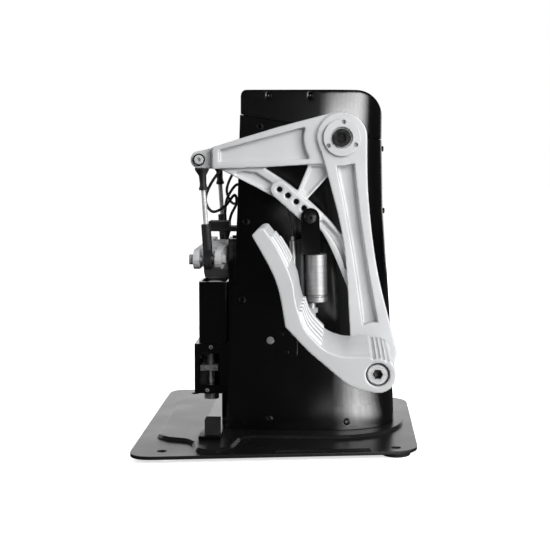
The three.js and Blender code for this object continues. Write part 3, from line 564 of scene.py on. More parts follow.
def ring(section, along="z", centre=(0, 0), steps=64):
    """A ring round an axis through centre, from a closed section of (radius, distance) points."""
    vertices, faces = [], []
    for u, v in circle((0, 0), 1, steps):
        for radius, distance in section:
            vertices.append(ACROSS[along](centre[0] + radius * u, centre[1] + radius * v, distance))
    count, total = len(section), len(vertices)
    for step in range(steps):
        for i in range(count):
            a, b = step * count + i, step * count + (i + 1) % count
            faces.append((a, b, (b + count) % total, (a + count) % total))
    return mesh_from(vertices, faces)


def side_ring(section, centre=(0, 0)):
    """As ring, about an axis across the left side, with distances as in side_turned."""
    return ring([(radius, -distance) for radius, distance in section], "y", centre)


def raised(outline, base, height, run, steps=6):
    """A soft-edged pressed step: the outline rises by height over a distance run, inwards."""
    rings = []
    for i in range(steps + 1):
        share = i / steps
        rise = share * share * (3 - 2 * share)
        inner = widened(outline, -run * share)
        rings.append([(x, y, base + height * rise) for x, y in inner])
    return lofted([[(x, y, base - 0.5) for x, y in widened(outline, 0)], *rings])


def joined(meshes):
    """One mesh of several that may overlap."""
    whole = bmesh.new()
    for mesh in meshes:
        whole.from_mesh(mesh)
    result = bpy.data.meshes.new("joined")
    whole.to_mesh(result)
    whole.free()
    return result


def with_modifiers(mesh, *modifiers):
    """The mesh after modifiers, each given as its type and its settings."""
    thing = add_object("work", mesh)
    for kind, settings in modifiers:
        add_modifier(thing, kind, **settings)
    bpy.context.view_layer.update()
    result = bpy.data.meshes.new_from_object(thing.evaluated_get(bpy.context.evaluated_depsgraph_get()))
    bpy.data.objects.remove(thing)
    return result


def boolean(mesh, tool, operation):
    other = add_object("tool", tool)
    settings = {"operation": operation, "object": other, "solver": "EXACT"}
    result = with_modifiers(mesh, ("BOOLEAN", settings))
    bpy.data.objects.remove(other)
    return result


def united(parts, cut=()):
    """One mesh from solids that overlap, less the solids that are cut out of it."""
    mesh = parts[0]
    for part in parts[1:]:
        mesh = boolean(mesh, part, "UNION")
    for tool in cut:
        mesh = boolean(mesh, tool, "DIFFERENCE")
    return mesh


def cast(mesh, voxel, passes):
    """The soft edges and fillets of a casting: a fine remesh, then smoothing."""
    return with_modifiers(
        mesh,
        ("REMESH", {"mode": "VOXEL", "voxel_size": voxel}),
        ("SMOOTH", {"factor": 0.5, "iterations": passes}),
        ("DECIMATE", {"ratio": 0.5}),
    )


# ---- Pieces ----


def piece(name, mesh, body, slot, replaces=(), place=PLACE, bevel=0.0):
    """Puts a mesh in millimetres into the scene, on a CAD body, with its finish."""
    mesh = mesh.copy()
    mesh.name = name
    mesh.transform(place)
    mesh.materials.clear()
    mesh.materials.append(FINISHES[slot])
    for polygon in mesh.polygons:
        polygon.use_smooth = True
        polygon.material_index = 0
    thing = add_object(name, mesh)
    if bevel:
        round_edges(thing, bevel)
    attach(thing, body)
    if replaces:
        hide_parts(*replaces)


def round_edges(thing, width):
    """Edges sharper than 35 degrees rounded over that width in millimetres."""
    sharp = math.radians(35)
    add_modifier(thing, "BEVEL", width=width * MM, segments=2, limit_method="ANGLE", angle_limit=sharp)
    add_modifier(thing, "WEIGHTED_NORMAL", keep_sharp=False)


def mirrored(mesh):
    """The same shape on the right side."""
    other = mesh.copy()
    other.transform(Matrix.Scale(-1, 4, (0, 1, 0)))
    other.flip_normals()
    return other


BODIES_WITH_SIDES = ("arm", "pedal", "brake", "brake_rod", "link")


def on_both_sides(name, mesh, body, slot, node=None, **options):
    """A piece for each side, instead of that side's CAD node. All names are given without their side."""
    for side_name, shape in (("left", mesh), ("right", mirrored(mesh))):
        own_body = f"{body}_{side_name}" if body in BODIES_WITH_SIDES else body
        nodes = [f"{node}_{side_name}"] if node else ()
        piece(f"{name}_{side_name}", shape, own_body, slot, nodes, **options)


def hex_socket(radius, near, far, centre=(0, 0)):
    return side_turned([(radius, near), (radius, far)], centre, 6)


def side_screw(centre, seat, head_radius, head_height, socket, dome=0.0):
    """A screw head on the left side, standing on a face at distance seat from the middle plane."""
    far = seat + head_height
    chamfer = min(0.5, head_height / 3)
    profile = [(0, seat - 1), (head_radius - 0.3, seat - 1), (head_radius, seat - 0.7)]
    profile += [(head_radius, far - chamfer - dome), (head_radius - chamfer, far - dome)]
    profile += [(head_radius * 0.6, far - dome * 0.3), (0, far)]
    head = side_turned(profile, centre, 40)
    return boolean(head, hex_socket(socket, far - min(head_height, 3.5), far + 1, centre), "DIFFERENCE")


# ---- Pendulum arm ----

HUB_RADIUS = 21.3
# Where the parts of the casting begin and end, counted outwards from the middle plane.
LEG_SPAN, HUB_SPAN, BEAM_SPAN = (84, 108), (54, 107), (84, 105.2)
EAR_SPAN, BRACE_SPAN, HOLE_PLATE_SPAN = (86, 97), (90, 102), (88, 105)
HEEL = side_point("heel_bolt_left")
REAR_PIVOT = side_point("rear_pivot_bolt_left")
BRAKE_TOP = side_point("clevis_bolt_left")
BRAKE_HOLES = [(-52.8, -43.8), (-45.6, -48.9), (-38.6, -54.2), (-32, -59.7), BRAKE_TOP]
HEEL_BOSS_RADIUS = 20
REAR_LUG_RADIUS = 7.5
HOLE_PLATE_RADIUS = 7.6
BEARING_BORE, PIVOT_BORE, HEEL_BORE, BRAKE_HOLE_BORE = 14.9, 3.3, 5.3, 2.6  # radii


def leg_outline():
    rear = spline([(-HUB_RADIUS, 0), (-11, -35), (2.5, -94), (HEEL[0] - HEEL_BOSS_RADIUS, HEEL[1])])
    boss = arc(HEEL, HEEL_BOSS_RADIUS, 180, 360)
    front = spline([boss[-1], (31, -114), (22.6, -50), (HUB_RADIUS, 0)])
    return rear + boss + front + arc((0, 0), HUB_RADIUS, 0, 180, 40)


def leg_recess():
    rear = bend((-4.5, -23.2), (12, -100), (18.6, -159))
    foot = bend((18.6, -159), (25.5, -155.5), (31.5, -157))
    front = bend((31.5, -157), (16, -80), (10.5, -21.2))
    return end_to_end([rear, foot, front, arc((0, 0), 23.7, -63.7, -101, 8)])


def beam_outline():
    top = [(0, 22)] + arc((0, 0), 22.4, 90, 107.7, 6) + [(-54, 9), (-85.5, -0.5), (-110, -8)]
    return [(-110, -26.6), (-66, -25), (-12, -21.7), (0, -10)] + top


def beam_pocket():
    front = arc((0, 0), 32.3, 213.7, 163.8, 16)
    return [(-104, -21), (-27, -18)] + front + [(-104, -10.5)]


def rear_ear():
    lug = arc(REAR_PIVOT, REAR_LUG_RADIUS, 90, 270, 24)
    return [(-103, -26.6), (-103, -6.5), (REAR_PIVOT[0] + 5, REAR_PIVOT[1] + REAR_LUG_RADIUS + 1)] + lug


def brace_outline():
    outer = spline([(-105, -26), (-46.6, -56.6), (-17.3, -79.4), (6.5, -130)])
    inner = spline([(6, -92), (-10.5, -69.7), (-39.6, -43.4), (-66.6, -25)])
    return outer + [(12, -128)] + inner


def brace_channels():
    """Shallow channels in the outer face of the brace, behind and below the hole plate."""
    rear = [(-93, -30.6), (-62, -45.4), (-59, -38.5), (-73, -29.5), (-84, -28.4)]
    outer = spline([(-20, -72.4), (-10, -82), (-1, -98), (6, -118)])
    inner = spline([(5.5, -98), (-2, -85), (-12, -73.6), (-16.5, -69.5)])
    return [rear, outer + inner]


def strut_outline(inset=0.0):
    strut = [(-28, -22), (-37.5, -45), (-29, -51.8), (-9, -30), (-9, -22)]
    return widened(strut, -inset) if inset else strut


def recess(outline, span, depth):
    """Cuts an outline into the outer face of a part of the casting."""
    return side(outline, span[1] - depth, span[1] + 1)


def arm_shape():
    solids = [
        side(leg_outline(), *LEG_SPAN),
        side_bar(HUB_RADIUS, *HUB_SPAN, steps=64),
        side(beam_outline(), *BEAM_SPAN),
        side(rear_ear(), *EAR_SPAN),
        side(brace_outline(), *BRACE_SPAN),
        side(strut_outline(), *BRACE_SPAN),
        side(stadium(BRAKE_HOLES[0], BRAKE_HOLES[-1], HOLE_PLATE_RADIUS), *HOLE_PLATE_SPAN),
    ]
    cuts = [
        recess(leg_recess(), LEG_SPAN, 8),
        recess(beam_pocket(), BEAM_SPAN, 6),
        recess(strut_outline(2.4), BRACE_SPAN, 3),
        side_bar(BEARING_BORE, HUB_SPAN[0] - 1, LEG_SPAN[1] + 1),
        side_bar(PIVOT_BORE, 80, 104, REAR_PIVOT),
        side_bar(HEEL_BORE, 80, LEG_SPAN[1] + 1, HEEL),
    ]
    cuts += [recess(channel, BRACE_SPAN, 3.5) for channel in brace_channels()]
    cuts += [side_bar(BRAKE_HOLE_BORE, *LEG_SPAN, hole) for hole in BRAKE_HOLES]
    return cast(united(solids, cuts), 0.8, 5)


def bearing_flange_shape():
    """A ring in front of the hub's bearing, with three notches for a wrench."""
    seat, face = 108.3, 110.8
    section = [(8.8, seat), (15.8, seat), (15.8, face - 0.6), (15.2, face), (9.4, face), (8.8, face - 0.6)]
    centres = [on_circle((0, 0), 13.2, degrees) for degrees in (84, 211, 333)]
    notches = [side_bar(1.9, seat - 1.3, face + 1.2, centre, 24) for centre in centres]
    return united([side_ring(section)], notches)


def pivot_pin_shape():
    head = [(3, 98), (4.1, 98.2), (4.1, 100.2), (3.6, 100.9), (0, 101)]
    pin = side_turned([(0, 70), (3, 70)] + head, REAR_PIVOT)
    return boolean(pin, hex_socket(1.9, 99, 102, REAR_PIVOT), "DIFFERENCE")


def add_arms():
    on_both_sides("arm_casting", arm_shape(), "arm", "cast_aluminium", "pendulum_arm")
    on_both_sides("hub_flange", bearing_flange_shape(), "arm", "cast_aluminium", "bearing_flange", bevel=0.25)
    washer = side_ring([(3.4, 97.3), (5.2, 97.3), (5.2, 98.6), (3.4, 98.6)], REAR_PIVOT)
    on_both_sides("pivot_washer", washer, "arm", "dark_steel", bevel=0.15)
    on_both_sides("pivot_pin", pivot_pin_shape(), "arm", "bright_steel", "rear_pivot_bolt", bevel=0.1)
    axle_screw = side_screw((0, 0), 108.3, 7.6, 4.7, 3.6)
    on_both_sides("axle_screw", axle_screw, "base", "dark_steel", "axle_bolt", bevel=0.2)
    clevis_screw = side_screw(BRAKE_TOP, 110, 5.2, 3, 2, dome=1.2)
    on_both_sides("clevis_screw", clevis_screw, "arm", "dark_steel", "clevis_bolt", bevel=0.15)


# ---- Pedal ----

PEDAL_NEAR, PEDAL_FAR = 110.6, 220
PEDAL_WALL = 6
BARREL_RADIUS, HEEL_HEAD_BORE = 14.2, 9.2
BRAKE_PIN = (-24.5, -166)
TREAD = [
    (-57.8, -71), (-49.8, -82.5), (-42.6, -96.4), (-37, -111), (-35, -124), (-32, -135),
    (-27.7, -146), (-20.5, -155), (-11.4, -162.8), (0, -167), (12, -167.6), (28.5, -167.3),
]


def tread_points(first, last, depth, count=24):
    """Points of the tread between two shares of its length, moved down into the pedal by depth."""
    curve = [Vector(p) for p in spline(TREAD, 16)]
    lengths = [0.0]
    for a, b in zip(curve, curve[1:]):
        lengths.append(lengths[-1] + (b - a).length)
    points = []
    for i in range(count + 1):
        target = (first + (last - first) * i / count) * lengths[-1]
        k = max(j for j in range(len(curve) - 1) if lengths[j] <= target + 1e-9)
        tangent = (curve[k + 1] - curve[k]).normalized()
        point = curve[k] + tangent * (target - lengths[k])
        points.append((point.x + tangent.y * depth, point.y - tangent.x * depth))
    return points


def pedal_outline():
    back = spline([(-68.6, -74.5), (-50, -110), (-42.8, -145)])
    foot = [(-24.8, -164)] + bend((-0.6, -184.7), (8, -193), (24, HEEL[1] - 13.5))
    barrel = arc(HEEL, BARREL_RADIUS, -108.3, 90, 40)
    tip = bend(TREAD[0], (-59, -67.5), (-64, -70))
    return back + foot + barrel + tread_points(0, 1, 0, 60)[::-1] + tip


def pedal_hollow():
    """What is taken out from under the tread, down past the pedal's lower edge."""
    roof = tread_points(0.03, 0.8, 7, 24)
    return roof[::-1] + [(-90, -80), (-70, -180), (-10, -210), (4, -190)]


def tread_ribs(first, last, height, width, count=5):
    """Lengthwise ribs that end in a slanted facet at the heel side."""
    crest = tread_points(first, last, -height)
    root = tread_points(first, last + 0.025, 1)
    pitch = (PEDAL_FAR - PEDAL_NEAR) / count
    middles = [PEDAL_NEAR + (i + 0.5) * pitch for i in range(count)]
    return [side(root + crest[::-1], m - width / 2, m + width / 2) for m in middles]


def heel_grooves():
    """Grooves along the top of the barrel, which grip a heel."""
    centres = [on_circle(HEEL, BARREL_RADIUS, degrees) for degrees in (103, 88, 73, 58)]
    return [side_bar(1.7, PEDAL_NEAR - 1, PEDAL_FAR + 1, centre, 16) for centre in centres]


def pedal_shape():
    cut_corner = prism([(-100, -118), (-112, -118), (-168, -60), (-100, -60)], -90, 0, "x")
    solids = [side(pedal_outline(), PEDAL_NEAR, PEDAL_FAR)]
    solids += tread_ribs(0.47, 0.68, 2.4, 12)
    solids += tread_ribs(0.04, 0.22, 1.8, 12)
    solids.append(side_bar(3, 90, PEDAL_NEAR + 2, BRAKE_PIN, 24))
    cuts = [
        side(pedal_hollow(), PEDAL_NEAR + PEDAL_WALL, PEDAL_FAR - PEDAL_WALL),
        cut_corner,
        side_bar(HEEL_HEAD_BORE, PEDAL_FAR - 10.6, PEDAL_FAR + 10, HEEL),
        side_bar(HEEL_BORE, 100, PEDAL_FAR + 10, HEEL, 32),
    ]
    cuts += heel_grooves()
    return cast(united(solids, cuts), 0.7, 3)


def add_pedals():
    on_both_sides("pedal_casting", pedal_shape(), "pedal", "cast_aluminium", "pedal")
    shank = [(0, 87), (5, 87), (5, 211)]
    head = [(8, 211), (8, 217.3), (7.3, 218), (0, 218)]
    screw = boolean(side_turned(shank + head, HEEL), hex_socket(4.2, 213, 219, HEEL), "DIFFERENCE")
    on_both_sides("heel_screw", screw, "arm", "bright_steel", "heel_bolt", bevel=0.2)
    # A dark hex disc at the bottom of the heel screw's socket: painted shade that makes the hole read dark.
    socket_shade_disc = side_turned([(0, 212), (3.9, 212), (3.9, 214), (2.6, 213.2), (0, 213.2)], HEEL, 6)
    on_both_sides("heel_socket_shade", socket_shade_disc, "arm", "dark_steel")


# ---- Tower ----

TOWER_HALF_WIDTH = 50
NOSE_LENGTH = 56
CAP_TOP, CAP_FRONT, CAP_REAR = 42.5, 36.7, -90
SEAM = ((CAP_REAR, 20.5), (CAP_FRONT, -2))
CAP_DRAFT = 0.04  # share of its width that the cap loses towards its top
WALL = 2.4
SCREW_HEADS = [  # on the tower's side: the centre, and the seat's distance from the middle plane
    ((-72.7, 10.1), 50), ((-85.2, -74.9), 50), ((-88.8, -145.3), 50),
    ((-64.3, -253.1), 52.1), ((5.7, -255.3), 51),
]
TOWER_FOOT = from_axle(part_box("tower_shell")[0]).z


def seam_z(x):
    """Height of the slanted seam between the cap and the tower."""
    (x1, z1), (x2, z2) = SEAM
    return z1 + (z2 - z1) * (x - x1) / (x2 - x1)


def nose_line(rear, front, inset=0.0, steps=36):
    """The tower's plan view from the left rear edge round to the right rear edge."""
    half, length = TOWER_HALF_WIDTH - inset, NOSE_LENGTH - inset
    start = front - inset - length
    left = [(rear + (start - rear) * i / 6, -half) for i in range(6)]
    left += [(start + length * x, half * y) for x, y in arc((0, 0), 1, -90, 0, steps)]
    return left + [(x, -y) for x, y in left[-2::-1]]


def axle_hole():
    return side_bar(12, -60, 60)


def tower_shape():
    """Rings at several heights, each with its rear, front and flare; the top one follows the seam."""
    levels = [
        (TOWER_FOOT, -104.3, 50, 2.6), (-160, -97.6, 45.2, 0),
        (-65, -93.2, 38.2, 0), (None, -90.5, CAP_FRONT, 0),
    ]
    rings = []
    for z, rear, front, flare in levels:
        outer = [(x, y * (1 + flare / TOWER_HALF_WIDTH)) for x, y in nose_line(rear, front)]
        wall = outer + nose_line(rear, front, 2)[::-1]
        rings.append([(x, y, seam_z(x) - 0.1 if z is None else z) for x, y in wall])
    return united([lofted(rings)], [axle_hole()])


def within_plan(side_view, rear, inset=0.0):
    """A side view that runs across the whole tower, trimmed to the tower's plan."""
    plan = nose_line(rear, CAP_FRONT, inset)
    return boolean(prism(side_view, -51, 51), prism(plan, -20, CAP_TOP + 1, "z"), "INTERSECT")


def cap_shape():
    front_radius, rear_radius = 24, 5
    profile = [(CAP_REAR, seam_z(CAP_REAR)), (CAP_FRONT, seam_z(CAP_FRONT))]
    profile += arc((CAP_FRONT - front_radius, CAP_TOP - front_radius), front_radius, 0, 90, 24)
    profile += arc((CAP_REAR + rear_radius, CAP_TOP - rear_radius), rear_radius, 90, 180, 10)
    block = within_plan(profile, CAP_REAR - 5)
    cuts = [axle_hole()]
    for x in (-65, -28, 7):
        notch = rectangle(x - 2, x + 2, CAP_TOP - 8.5, CAP_TOP - 2.5)
        cuts += [side(notch, 45.5, 60), prism(notch, 45.5, 60)]
    cap = cast(united([block], cuts), 1.0, 6)
    for vertex in cap.vertices:
        rise = (vertex.co.z - seam_z(vertex.co.x)) / (CAP_TOP - seam_z(0))
        vertex.co.y *= 1 - CAP_DRAFT * max(rise, 0)
    return cap


def cap_lip():
    """The lip under the cap that fits inside the tower and closes the seam."""
    low, high = CAP_REAR + WALL, CAP_FRONT - WALL
    below = [(x, seam_z(x) - 4) for x in (low, high)]
    above = [(x, seam_z(x) + 3) for x in (high, low)]
    return united([within_plan(below + above, low, WALL)], [axle_hole()])


def nose_screw(height, front):
    """A small screw on the middle of the nose, pointing forwards."""
    profile = [(0, front - 1), (2.6, front - 1), (2.6, front + 0.8), (1.8, front + 1.5), (0, front + 1.6)]
    return turned(profile, "x", (0, height), 24)


def add_tower():
    piece("hood_lip", cap_lip(), "base", "black_paint")
    screws = [nose_screw(-10, 36.8), nose_screw(-67, 38.3)]
    piece("nose_screws", joined(screws), "base", "dark_steel", bevel=0.1)
    piece("tower_wall", tower_shape(), "base", "black_paint", ["tower_shell"], bevel=0.5)
    piece("tower_hood", cap_shape(), "base", "black_paint", ["tower_cap"])


def add_tower_fittings():
    heads = [side_screw(centre, seat, 3.2, 1.6, 1.5, dome=0.5) for centre, seat in SCREW_HEADS]
    on_both_sides("tower_screws", joined(heads), "base", "dark_steel", bevel=0.1)
    rivet = side_turned([(0, 49), (3.5, 49), (3.5, 50.8), (2.9, 51.5), (0, 51.5)], (-63.5, -181.8))
    on_both_sides("frame_rivet", rivet, "base", "bright_steel", bevel=0.1)


def add_side_bracket():
    """A small plate under each pedal, on the tower's side, with three screws."""
    seat, face = 50, 51.6
    plate = side(rounded(rectangle(-58, -39, -197, -171), 4), seat, face)
    on_both_sides("bracket_plate", plate, "base", "black_paint", bevel=0.3)
    centres = ((-53, -176), (-44, -176), (-48.5, -192))
    screws = [side_screw(centre, face, 1.9, 1.1, 0.9, dome=0.3) for centre in centres]
    on_both_sides("bracket_screws", joined(screws), "base", "dark_steel", bevel=0.1)


# ---- Base plate ----

PLATE_REAR, PLATE_FRONT = 150, 115  # half the plate's width at each end
PLATE_LOW, PLATE_HIGH = (from_axle(corner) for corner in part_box("base_plate"))
PLATEAU_HEIGHT, BEAD_HEIGHT = 3, 2
PLATE_FACE = PLATE_HIGH.z - PLATEAU_HEIGHT
PLATE_HOLES = [(-152, 127), (48, 104)]
FOOT_RADIUS, FOOT_HOLE_RADIUS = 12.5, 3.2


def plate_outline():
    rear, front = PLATE_LOW.x, PLATE_HIGH.x
    corners = [(rear, -PLATE_REAR), (front, -PLATE_FRONT), (front, PLATE_FRONT), (rear, PLATE_REAR)]
    return rounded(corners, 24)


def plateau_outline():
    """The raised middle: an ear at each rear corner, straight sides and an elliptical nose."""
    left = [
        (-164, -76), (-154, -88), (-136, -94), (-129, -104), (-124, -126), (-116, -134),
        (-102, -134), (-92, -116), (-87, -84), (-78, -77),
    ]
    nose_start, nose_length, half_width = -12, 72, 77
    nose = [(nose_start + nose_length * x, half_width * y) for x, y in arc((0, 0), 1, -90, 90, 36)]
    softened = rounded_open(left + [(nose_start, -half_width)], 3.5)
    return softened + nose[1:-1] + [(x, -y) for x, y in reversed(softened)]


def base_plate_shape():
    solids = [prism(plate_outline(), PLATE_LOW.z, PLATE_FACE, "z")]
    solids.append(raised(plateau_outline(), PLATE_FACE, PLATEAU_HEIGHT, 3))
    countersink = [(3.2, PLATE_LOW.z - 1), (3.2, PLATE_FACE - 1.2), (4.4, PLATE_FACE), (4.4, PLATE_FACE + 1)]
    cuts = []
    for sign in (-1, 1):
        bead = stadium((-54, sign * 125), (24, sign * 115), 3.5)
        solids.append(raised(bead, PLATE_FACE, BEAD_HEIGHT, 2.8))
        for x, y in PLATE_HOLES:
            cuts.append(turned(countersink, "z", (x, sign * y)))
    return united(solids, cuts)


def foot_shape(x, y):
    """A rubber foot: a ring with a lip inside, round the hole for its screw."""
    foot, top, lip = PLATE_LOW.z - 4, PLATE_LOW.z - 0.3, 4.6
    inside = [(lip, foot + 1.8), (lip, foot + 0.4), (lip + 0.8, foot)]
    outside = [(FOOT_RADIUS - 1.5, foot), (FOOT_RADIUS - 0.3, foot + 0.5), (FOOT_RADIUS, foot + 1.3)]
    upper = [(FOOT_RADIUS, top - 0.5), (FOOT_RADIUS - 0.4, top), (FOOT_HOLE_RADIUS, top)]
    return ring(inside + outside + upper + [(FOOT_HOLE_RADIUS, foot + 1.8)], "z", (x, y))


def add_base():
    piece("plate", base_plate_shape(), "base", "base_paint", ["base_plate"], bevel=0.6)
    for end in ("front", "rear"):
        centre = from_axle(middle(f"foot_{end}_left"))
        foot = foot_shape(centre.x, centre.y)
        on_both_sides(f"rubber_foot_{end}", foot, "base", "foot_rubber", f"foot_{end}", bevel=0.2)


# ---- Brake unit ----

BRAKE_PLANE, LINK_PLANE = 96, 78
ROCKER_END = (-116.5, from_axle(middle("rocker_shaft")).z)
CYLINDER_X, SENSOR_X = 4, -9  # the cylinder's axis lies in front of its rod, and the sensor behind it


def hanging(top, foot):
    """Where a unit hangs that is drawn straight down from its upper bolt."""
    lean = math.atan2(top[0] - foot[0], top[1] - foot[1])
    return PLACE @ Matrix.Translation((top[0], 0, top[1])) @ Matrix.Rotation(lean, 4, "Y")


def brake_cylinder_shape():
    """A tube that is open for the rod at its lower end, with a groove above that end."""
    radius, foot, top = 9.3, -74, -31.8
    section = [(6.2, foot + 3), (6.2, foot), (radius - 0.9, foot), (radius, foot + 0.9), (radius, foot + 5)]
    section += [(radius - 0.7, foot + 5.4), (radius - 0.7, foot + 6.6), (radius, foot + 7)]
    section += [(radius, top - 0.8), (radius - 0.8, top), (2, top), (2, foot + 3)]
    return ring(section, "z", (CYLINDER_X, -BRAKE_PLANE), 72)


def brake_sensor_shape():
    """The position sensor's black body, beside the cylinder."""
    radius, foot, top = 3.7, -77, -19.5
    profile = [(0, foot), (radius - 1, foot), (radius, foot + 1)]
    profile += [(radius, top - 1), (radius - 1, top), (0, top)]
    return turned(profile, "z", (SENSOR_X, -BRAKE_PLANE), 64)


def sensor_rail_shape():
    """The bright tube on the sensor's rear side, with a neck for its lead."""
    radius, foot, top, x = 3.1, -76, -20.2, SENSOR_X - 6.7
    profile = [(0, foot), (radius - 0.6, foot), (radius, foot + 0.6), (radius, top - 0.6)]
    profile += [(radius - 0.6, top), (1.6, top), (1.4, top + 3.2), (0, top + 3.2)]
    return turned(profile, "z", (x, -BRAKE_PLANE), 48)


def brake_rod_shape():
    """A rod with a piston inside the cylinder, a nut below it and an eye for the pedal's pin."""
    length = math.dist(BRAKE_TOP, BRAKE_PIN)
    foot = -74
    shaft = [(0, -length + 4), (2.6, -length + 4), (3, -length + 4.4), (3, foot + 20), (5.5, foot + 20)]
    shaft += [(5.5, foot + 26), (0, foot + 26)]
    nut = prism(circle((0, -BRAKE_PLANE), 4.8, 6), foot - 9, foot - 5, "z")
    eye = side_bar(7, BRAKE_PLANE - 4, BRAKE_PLANE + 4, (0, -length))
    hole = side_bar(4.3, 70, 120, (0, -length))
    return united([turned(shaft, "z", (0, -BRAKE_PLANE)), nut, eye], [hole])


def add_brake_units():
    place = hanging(BRAKE_TOP, BRAKE_PIN)
    for name, shape, body, slot, node, bevel in (
        ("cylinder_tube", brake_cylinder_shape(), "brake", "cylinder_anodising", "brake_cylinder", 0.15),
        ("sensor_body", brake_sensor_shape(), "brake", "black_plastic", "brake_sensor", 0.15),
        ("sensor_rail", sensor_rail_shape(), "brake", "cylinder_anodising", None, 0.1),
        ("piston_rod", brake_rod_shape(), "brake_rod", "bright_steel", "brake_rod", 0.2),
    ):
        on_both_sides(name, shape, body, slot, node, place=place, bevel=bevel)


# ---- Centring unit and wires ----


def tube_along(points, radius, steps=10):
    """A round tube along points in millimetres, closed at both ends."""
    rings = []
    up = Vector((0, 0, 1))
    section = circle((0, 0), radius, steps)
    for i, point in enumerate(points):
        tangent = Vector(points[min(i + 1, len(points) - 1)]) - Vector(points[max(i - 1, 0)])
        tangent.normalize()
        across = up - tangent * up.dot(tangent)
        across.normalize()
        other = tangent.cross(across)
        rings.append([tuple(Vector(point) + across * u + other * v) for u, v in section])
        up = across
    return lofted(rings)


def coil_points(centre, radius, low, high, turns, steps=24):
    """Points of a coil round an upright axis."""
    points = []
    for i in range(turns * steps + 1):
        height = low + (high - low) * i / (turns * steps)
        points.append((*on_circle(centre, radius, 360 * i / steps), height))
    return points


def upper_rod_end_shape():
    """A ball joint's housing: an eye, a flare under it, and a collar round the rod."""
    profile = [(0, -26.8), (3.6, -26.8), (3.9, -26.2), (3.9, -24.4), (3.3, -23.8), (2.9, -21), (3.3, -14)]
    profile += [(5.8, -9.8), (6.3, -8.8), (6.3, -7.4), (5.2, -5.4), (0, -5)]
    shank = turned(profile, "z", (0, -LINK_PLANE), 40)
    eye = side_turned([(0, 74), (6.4, 74), (7.3, 75), (7.3, 81), (6.4, 82), (0, 82)])
    rod_hole = turned([(2.3, -30), (2.3, -20)], "z", (0, -LINK_PLANE), 24)
    return united([shank, eye], [side_bar(3.3, 60, 90), rod_hole])


def lower_rod_end_shape():
    """A long sleeve over the rod's lower end, with an eye for the rocker's bolt."""
    length = math.dist(REAR_PIVOT, ROCKER_END)
    foot, top = 5 - length, 31 - length
    sleeve_profile = [(0, foot), (4.2, foot), (4.2, top - 0.6), (3.7, top), (0, top)]
    eye_profile = [(0, -3.4), (8.2, -3.4), (9, -2.6), (9, 2.6), (8.2, 3.4), (0, 3.4)]
    sleeve = turned(sleeve_profile, "z", (0, -LINK_PLANE), 40)
    eye = turned(eye_profile, "x", (-LINK_PLANE, -length))
    bolt_hole = turned([(5.2, -9), (5.2, 9)], "x", (-LINK_PLANE, -length), 40)
    rod_hole = turned([(2.3, top - 3), (2.3, top + 1)], "z", (0, -LINK_PLANE), 24)
    return united([sleeve, eye], [bolt_hole, rod_hole])


def add_links():
    place = hanging(REAR_PIVOT, ROCKER_END)
    for end, shape in (("upper", upper_rod_end_shape()), ("lower", lower_rod_end_shape())):
        name, node = f"rod_end_{end}", f"{end}_rod_end"
        on_both_sides(name, shape, "link", "black_plastic", node, place=place, bevel=0.15)


def add_adjuster_details():
    """Small screws on the adjuster and its seat, and two light springs over the guide rods."""
    heads = [side_screw(centre, 19, 2, 1.2, 1, dome=0.4) for centre in ((-120.5, -193.5), (-124, -234.2))]
    on_both_sides("adjuster_screws", joined(heads), "base", "bright_steel", bevel=0.1)
    heads = [side_screw((x, -213.5), 16, 1.9, 0.9, 0.9, dome=0.3) for x in (-127, -118)]
    on_both_sides("seat_screws", joined(heads), "preload_seat", "bright_steel", bevel=0.1)
    rod = from_axle(middle("guide_rod_left"))
    points = coil_points((rod.x, rod.y), 3, -209.3, -200.2, 7)
    on_both_sides("guide_spring", tube_along(points, 0.45, 8), "base", "bright_steel")


def add_spring():
    low, high = (from_axle(corner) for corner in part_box("centring_spring"))
    wire, turns = 1.4, 6
    centre = (low + high) / 2
    radius = (high.x - low.x) / 2 - wire
    points = coil_points((centre.x, 0), radius, low.z + wire, high.z - wire, turns, 28)
    piece("coil_spring", tube_along(points, wire), "base", "bright_steel", ["centring_spring"])


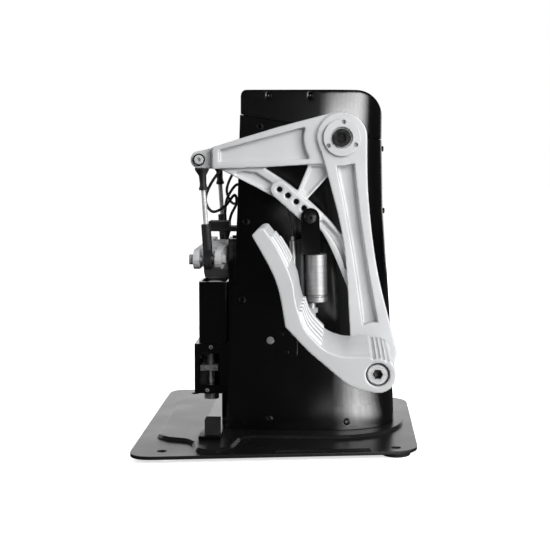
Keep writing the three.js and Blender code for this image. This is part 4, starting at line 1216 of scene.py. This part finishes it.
WIRE_RADIUS, LEAD_RADIUS = 1.3, 0.6
WIRES = {
    "left": [
        (-84.6, -30, -14), (-96, -32, -20), (-108, -36, -28), (-118, -42, -42), (-122, -46, -56),
        (-116, -44, -66), (-106, -34, -62), (-98, -22, -52), (-97, -12, -60), (-102, -6, -70),
        (-104, -4, -76.6),
    ],
    "right": [
        (-84.6, 26, -18), (-94, 28, -22), (-104, 32, -34), (-110, 34, -50), (-104, 30, -62),
        (-95, 22, -58), (-93, 14, -46), (-99, 8, -44), (-107, 6, -56), (-109, 6, -68),
        (-109, 6, -76.6),
    ],
}
SENSOR_LEAD = [(-41.9, 96, -84.4), (-42.3, 95.5, -79), (-44, 93, -70), (-46.4, 90, -60), (-48.2, 90.5, -52)]


def add_wire(name, route, radius, body, replaced=()):
    """A cord from one fixed point of the object to another, through a route in millimetres."""
    points = [PLACE @ Vector(p) for p in spline(route, 8)]
    curve = bpy.data.curves.new(name, "CURVE")
    curve.dimensions = "3D"
    curve.bevel_depth = radius * MM
    curve.bevel_resolution = 4
    curve.use_fill_caps = True
    line = curve.splines.new("POLY")
    line.points.add(len(points) - 1)
    for knot, point in zip(line.points, points):
        knot.co = (*point, 1)
    curve.materials.append(FINISHES["cable_rubber"])
    wire = add_object(name, curve)
    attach(wire, body)
    if replaced:
        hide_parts(*replaced)
    length = sum((b - a).length for a, b in zip(points, points[1:]))
    tuple(points[0])


def add_wires():
    for side_name, route in WIRES.items():
        add_wire(f"wire_{side_name}", route, WIRE_RADIUS, "base", [f"sensor_wire_{side_name}"])
    for side_name, sign in (("left", -1), ("right", 1)):
        route = [(x, sign * y, z) for x, y, z in SENSOR_LEAD]
        add_wire(f"sensor_lead_{side_name}", route, LEAD_RADIUS, f"brake_{side_name}")


add_wires()
add_tower()
add_tower_fittings()
add_side_bracket()
add_base()
add_arms()
add_pedals()
add_brake_units()
add_spring()
add_links()
add_adjuster_details()

# ---- CAD nodes that stay ----


def soften(node, width_mm=0.35):
    """Small rounded edges on a CAD node, which keeps its own mesh."""
    add_modifier(node, "DECIMATE", decimate_type="DISSOLVE", angle_limit=math.radians(1))
    for polygon in node.data.polygons:
        polygon.use_smooth = True
    round_edges(node, width_mm)


def finish_nodes():
    """The record's finish on every CAD node, and rounded edges on those that still show."""
    slots = {part["node"]: part["material_slot"] for part in frame["record"]["subparts"]}
    for name, node in frame["nodes"].items():
        node.data.materials.clear()
        node.data.materials.append(FINISHES[slots[name]])
        soften(node)


finish_nodes()
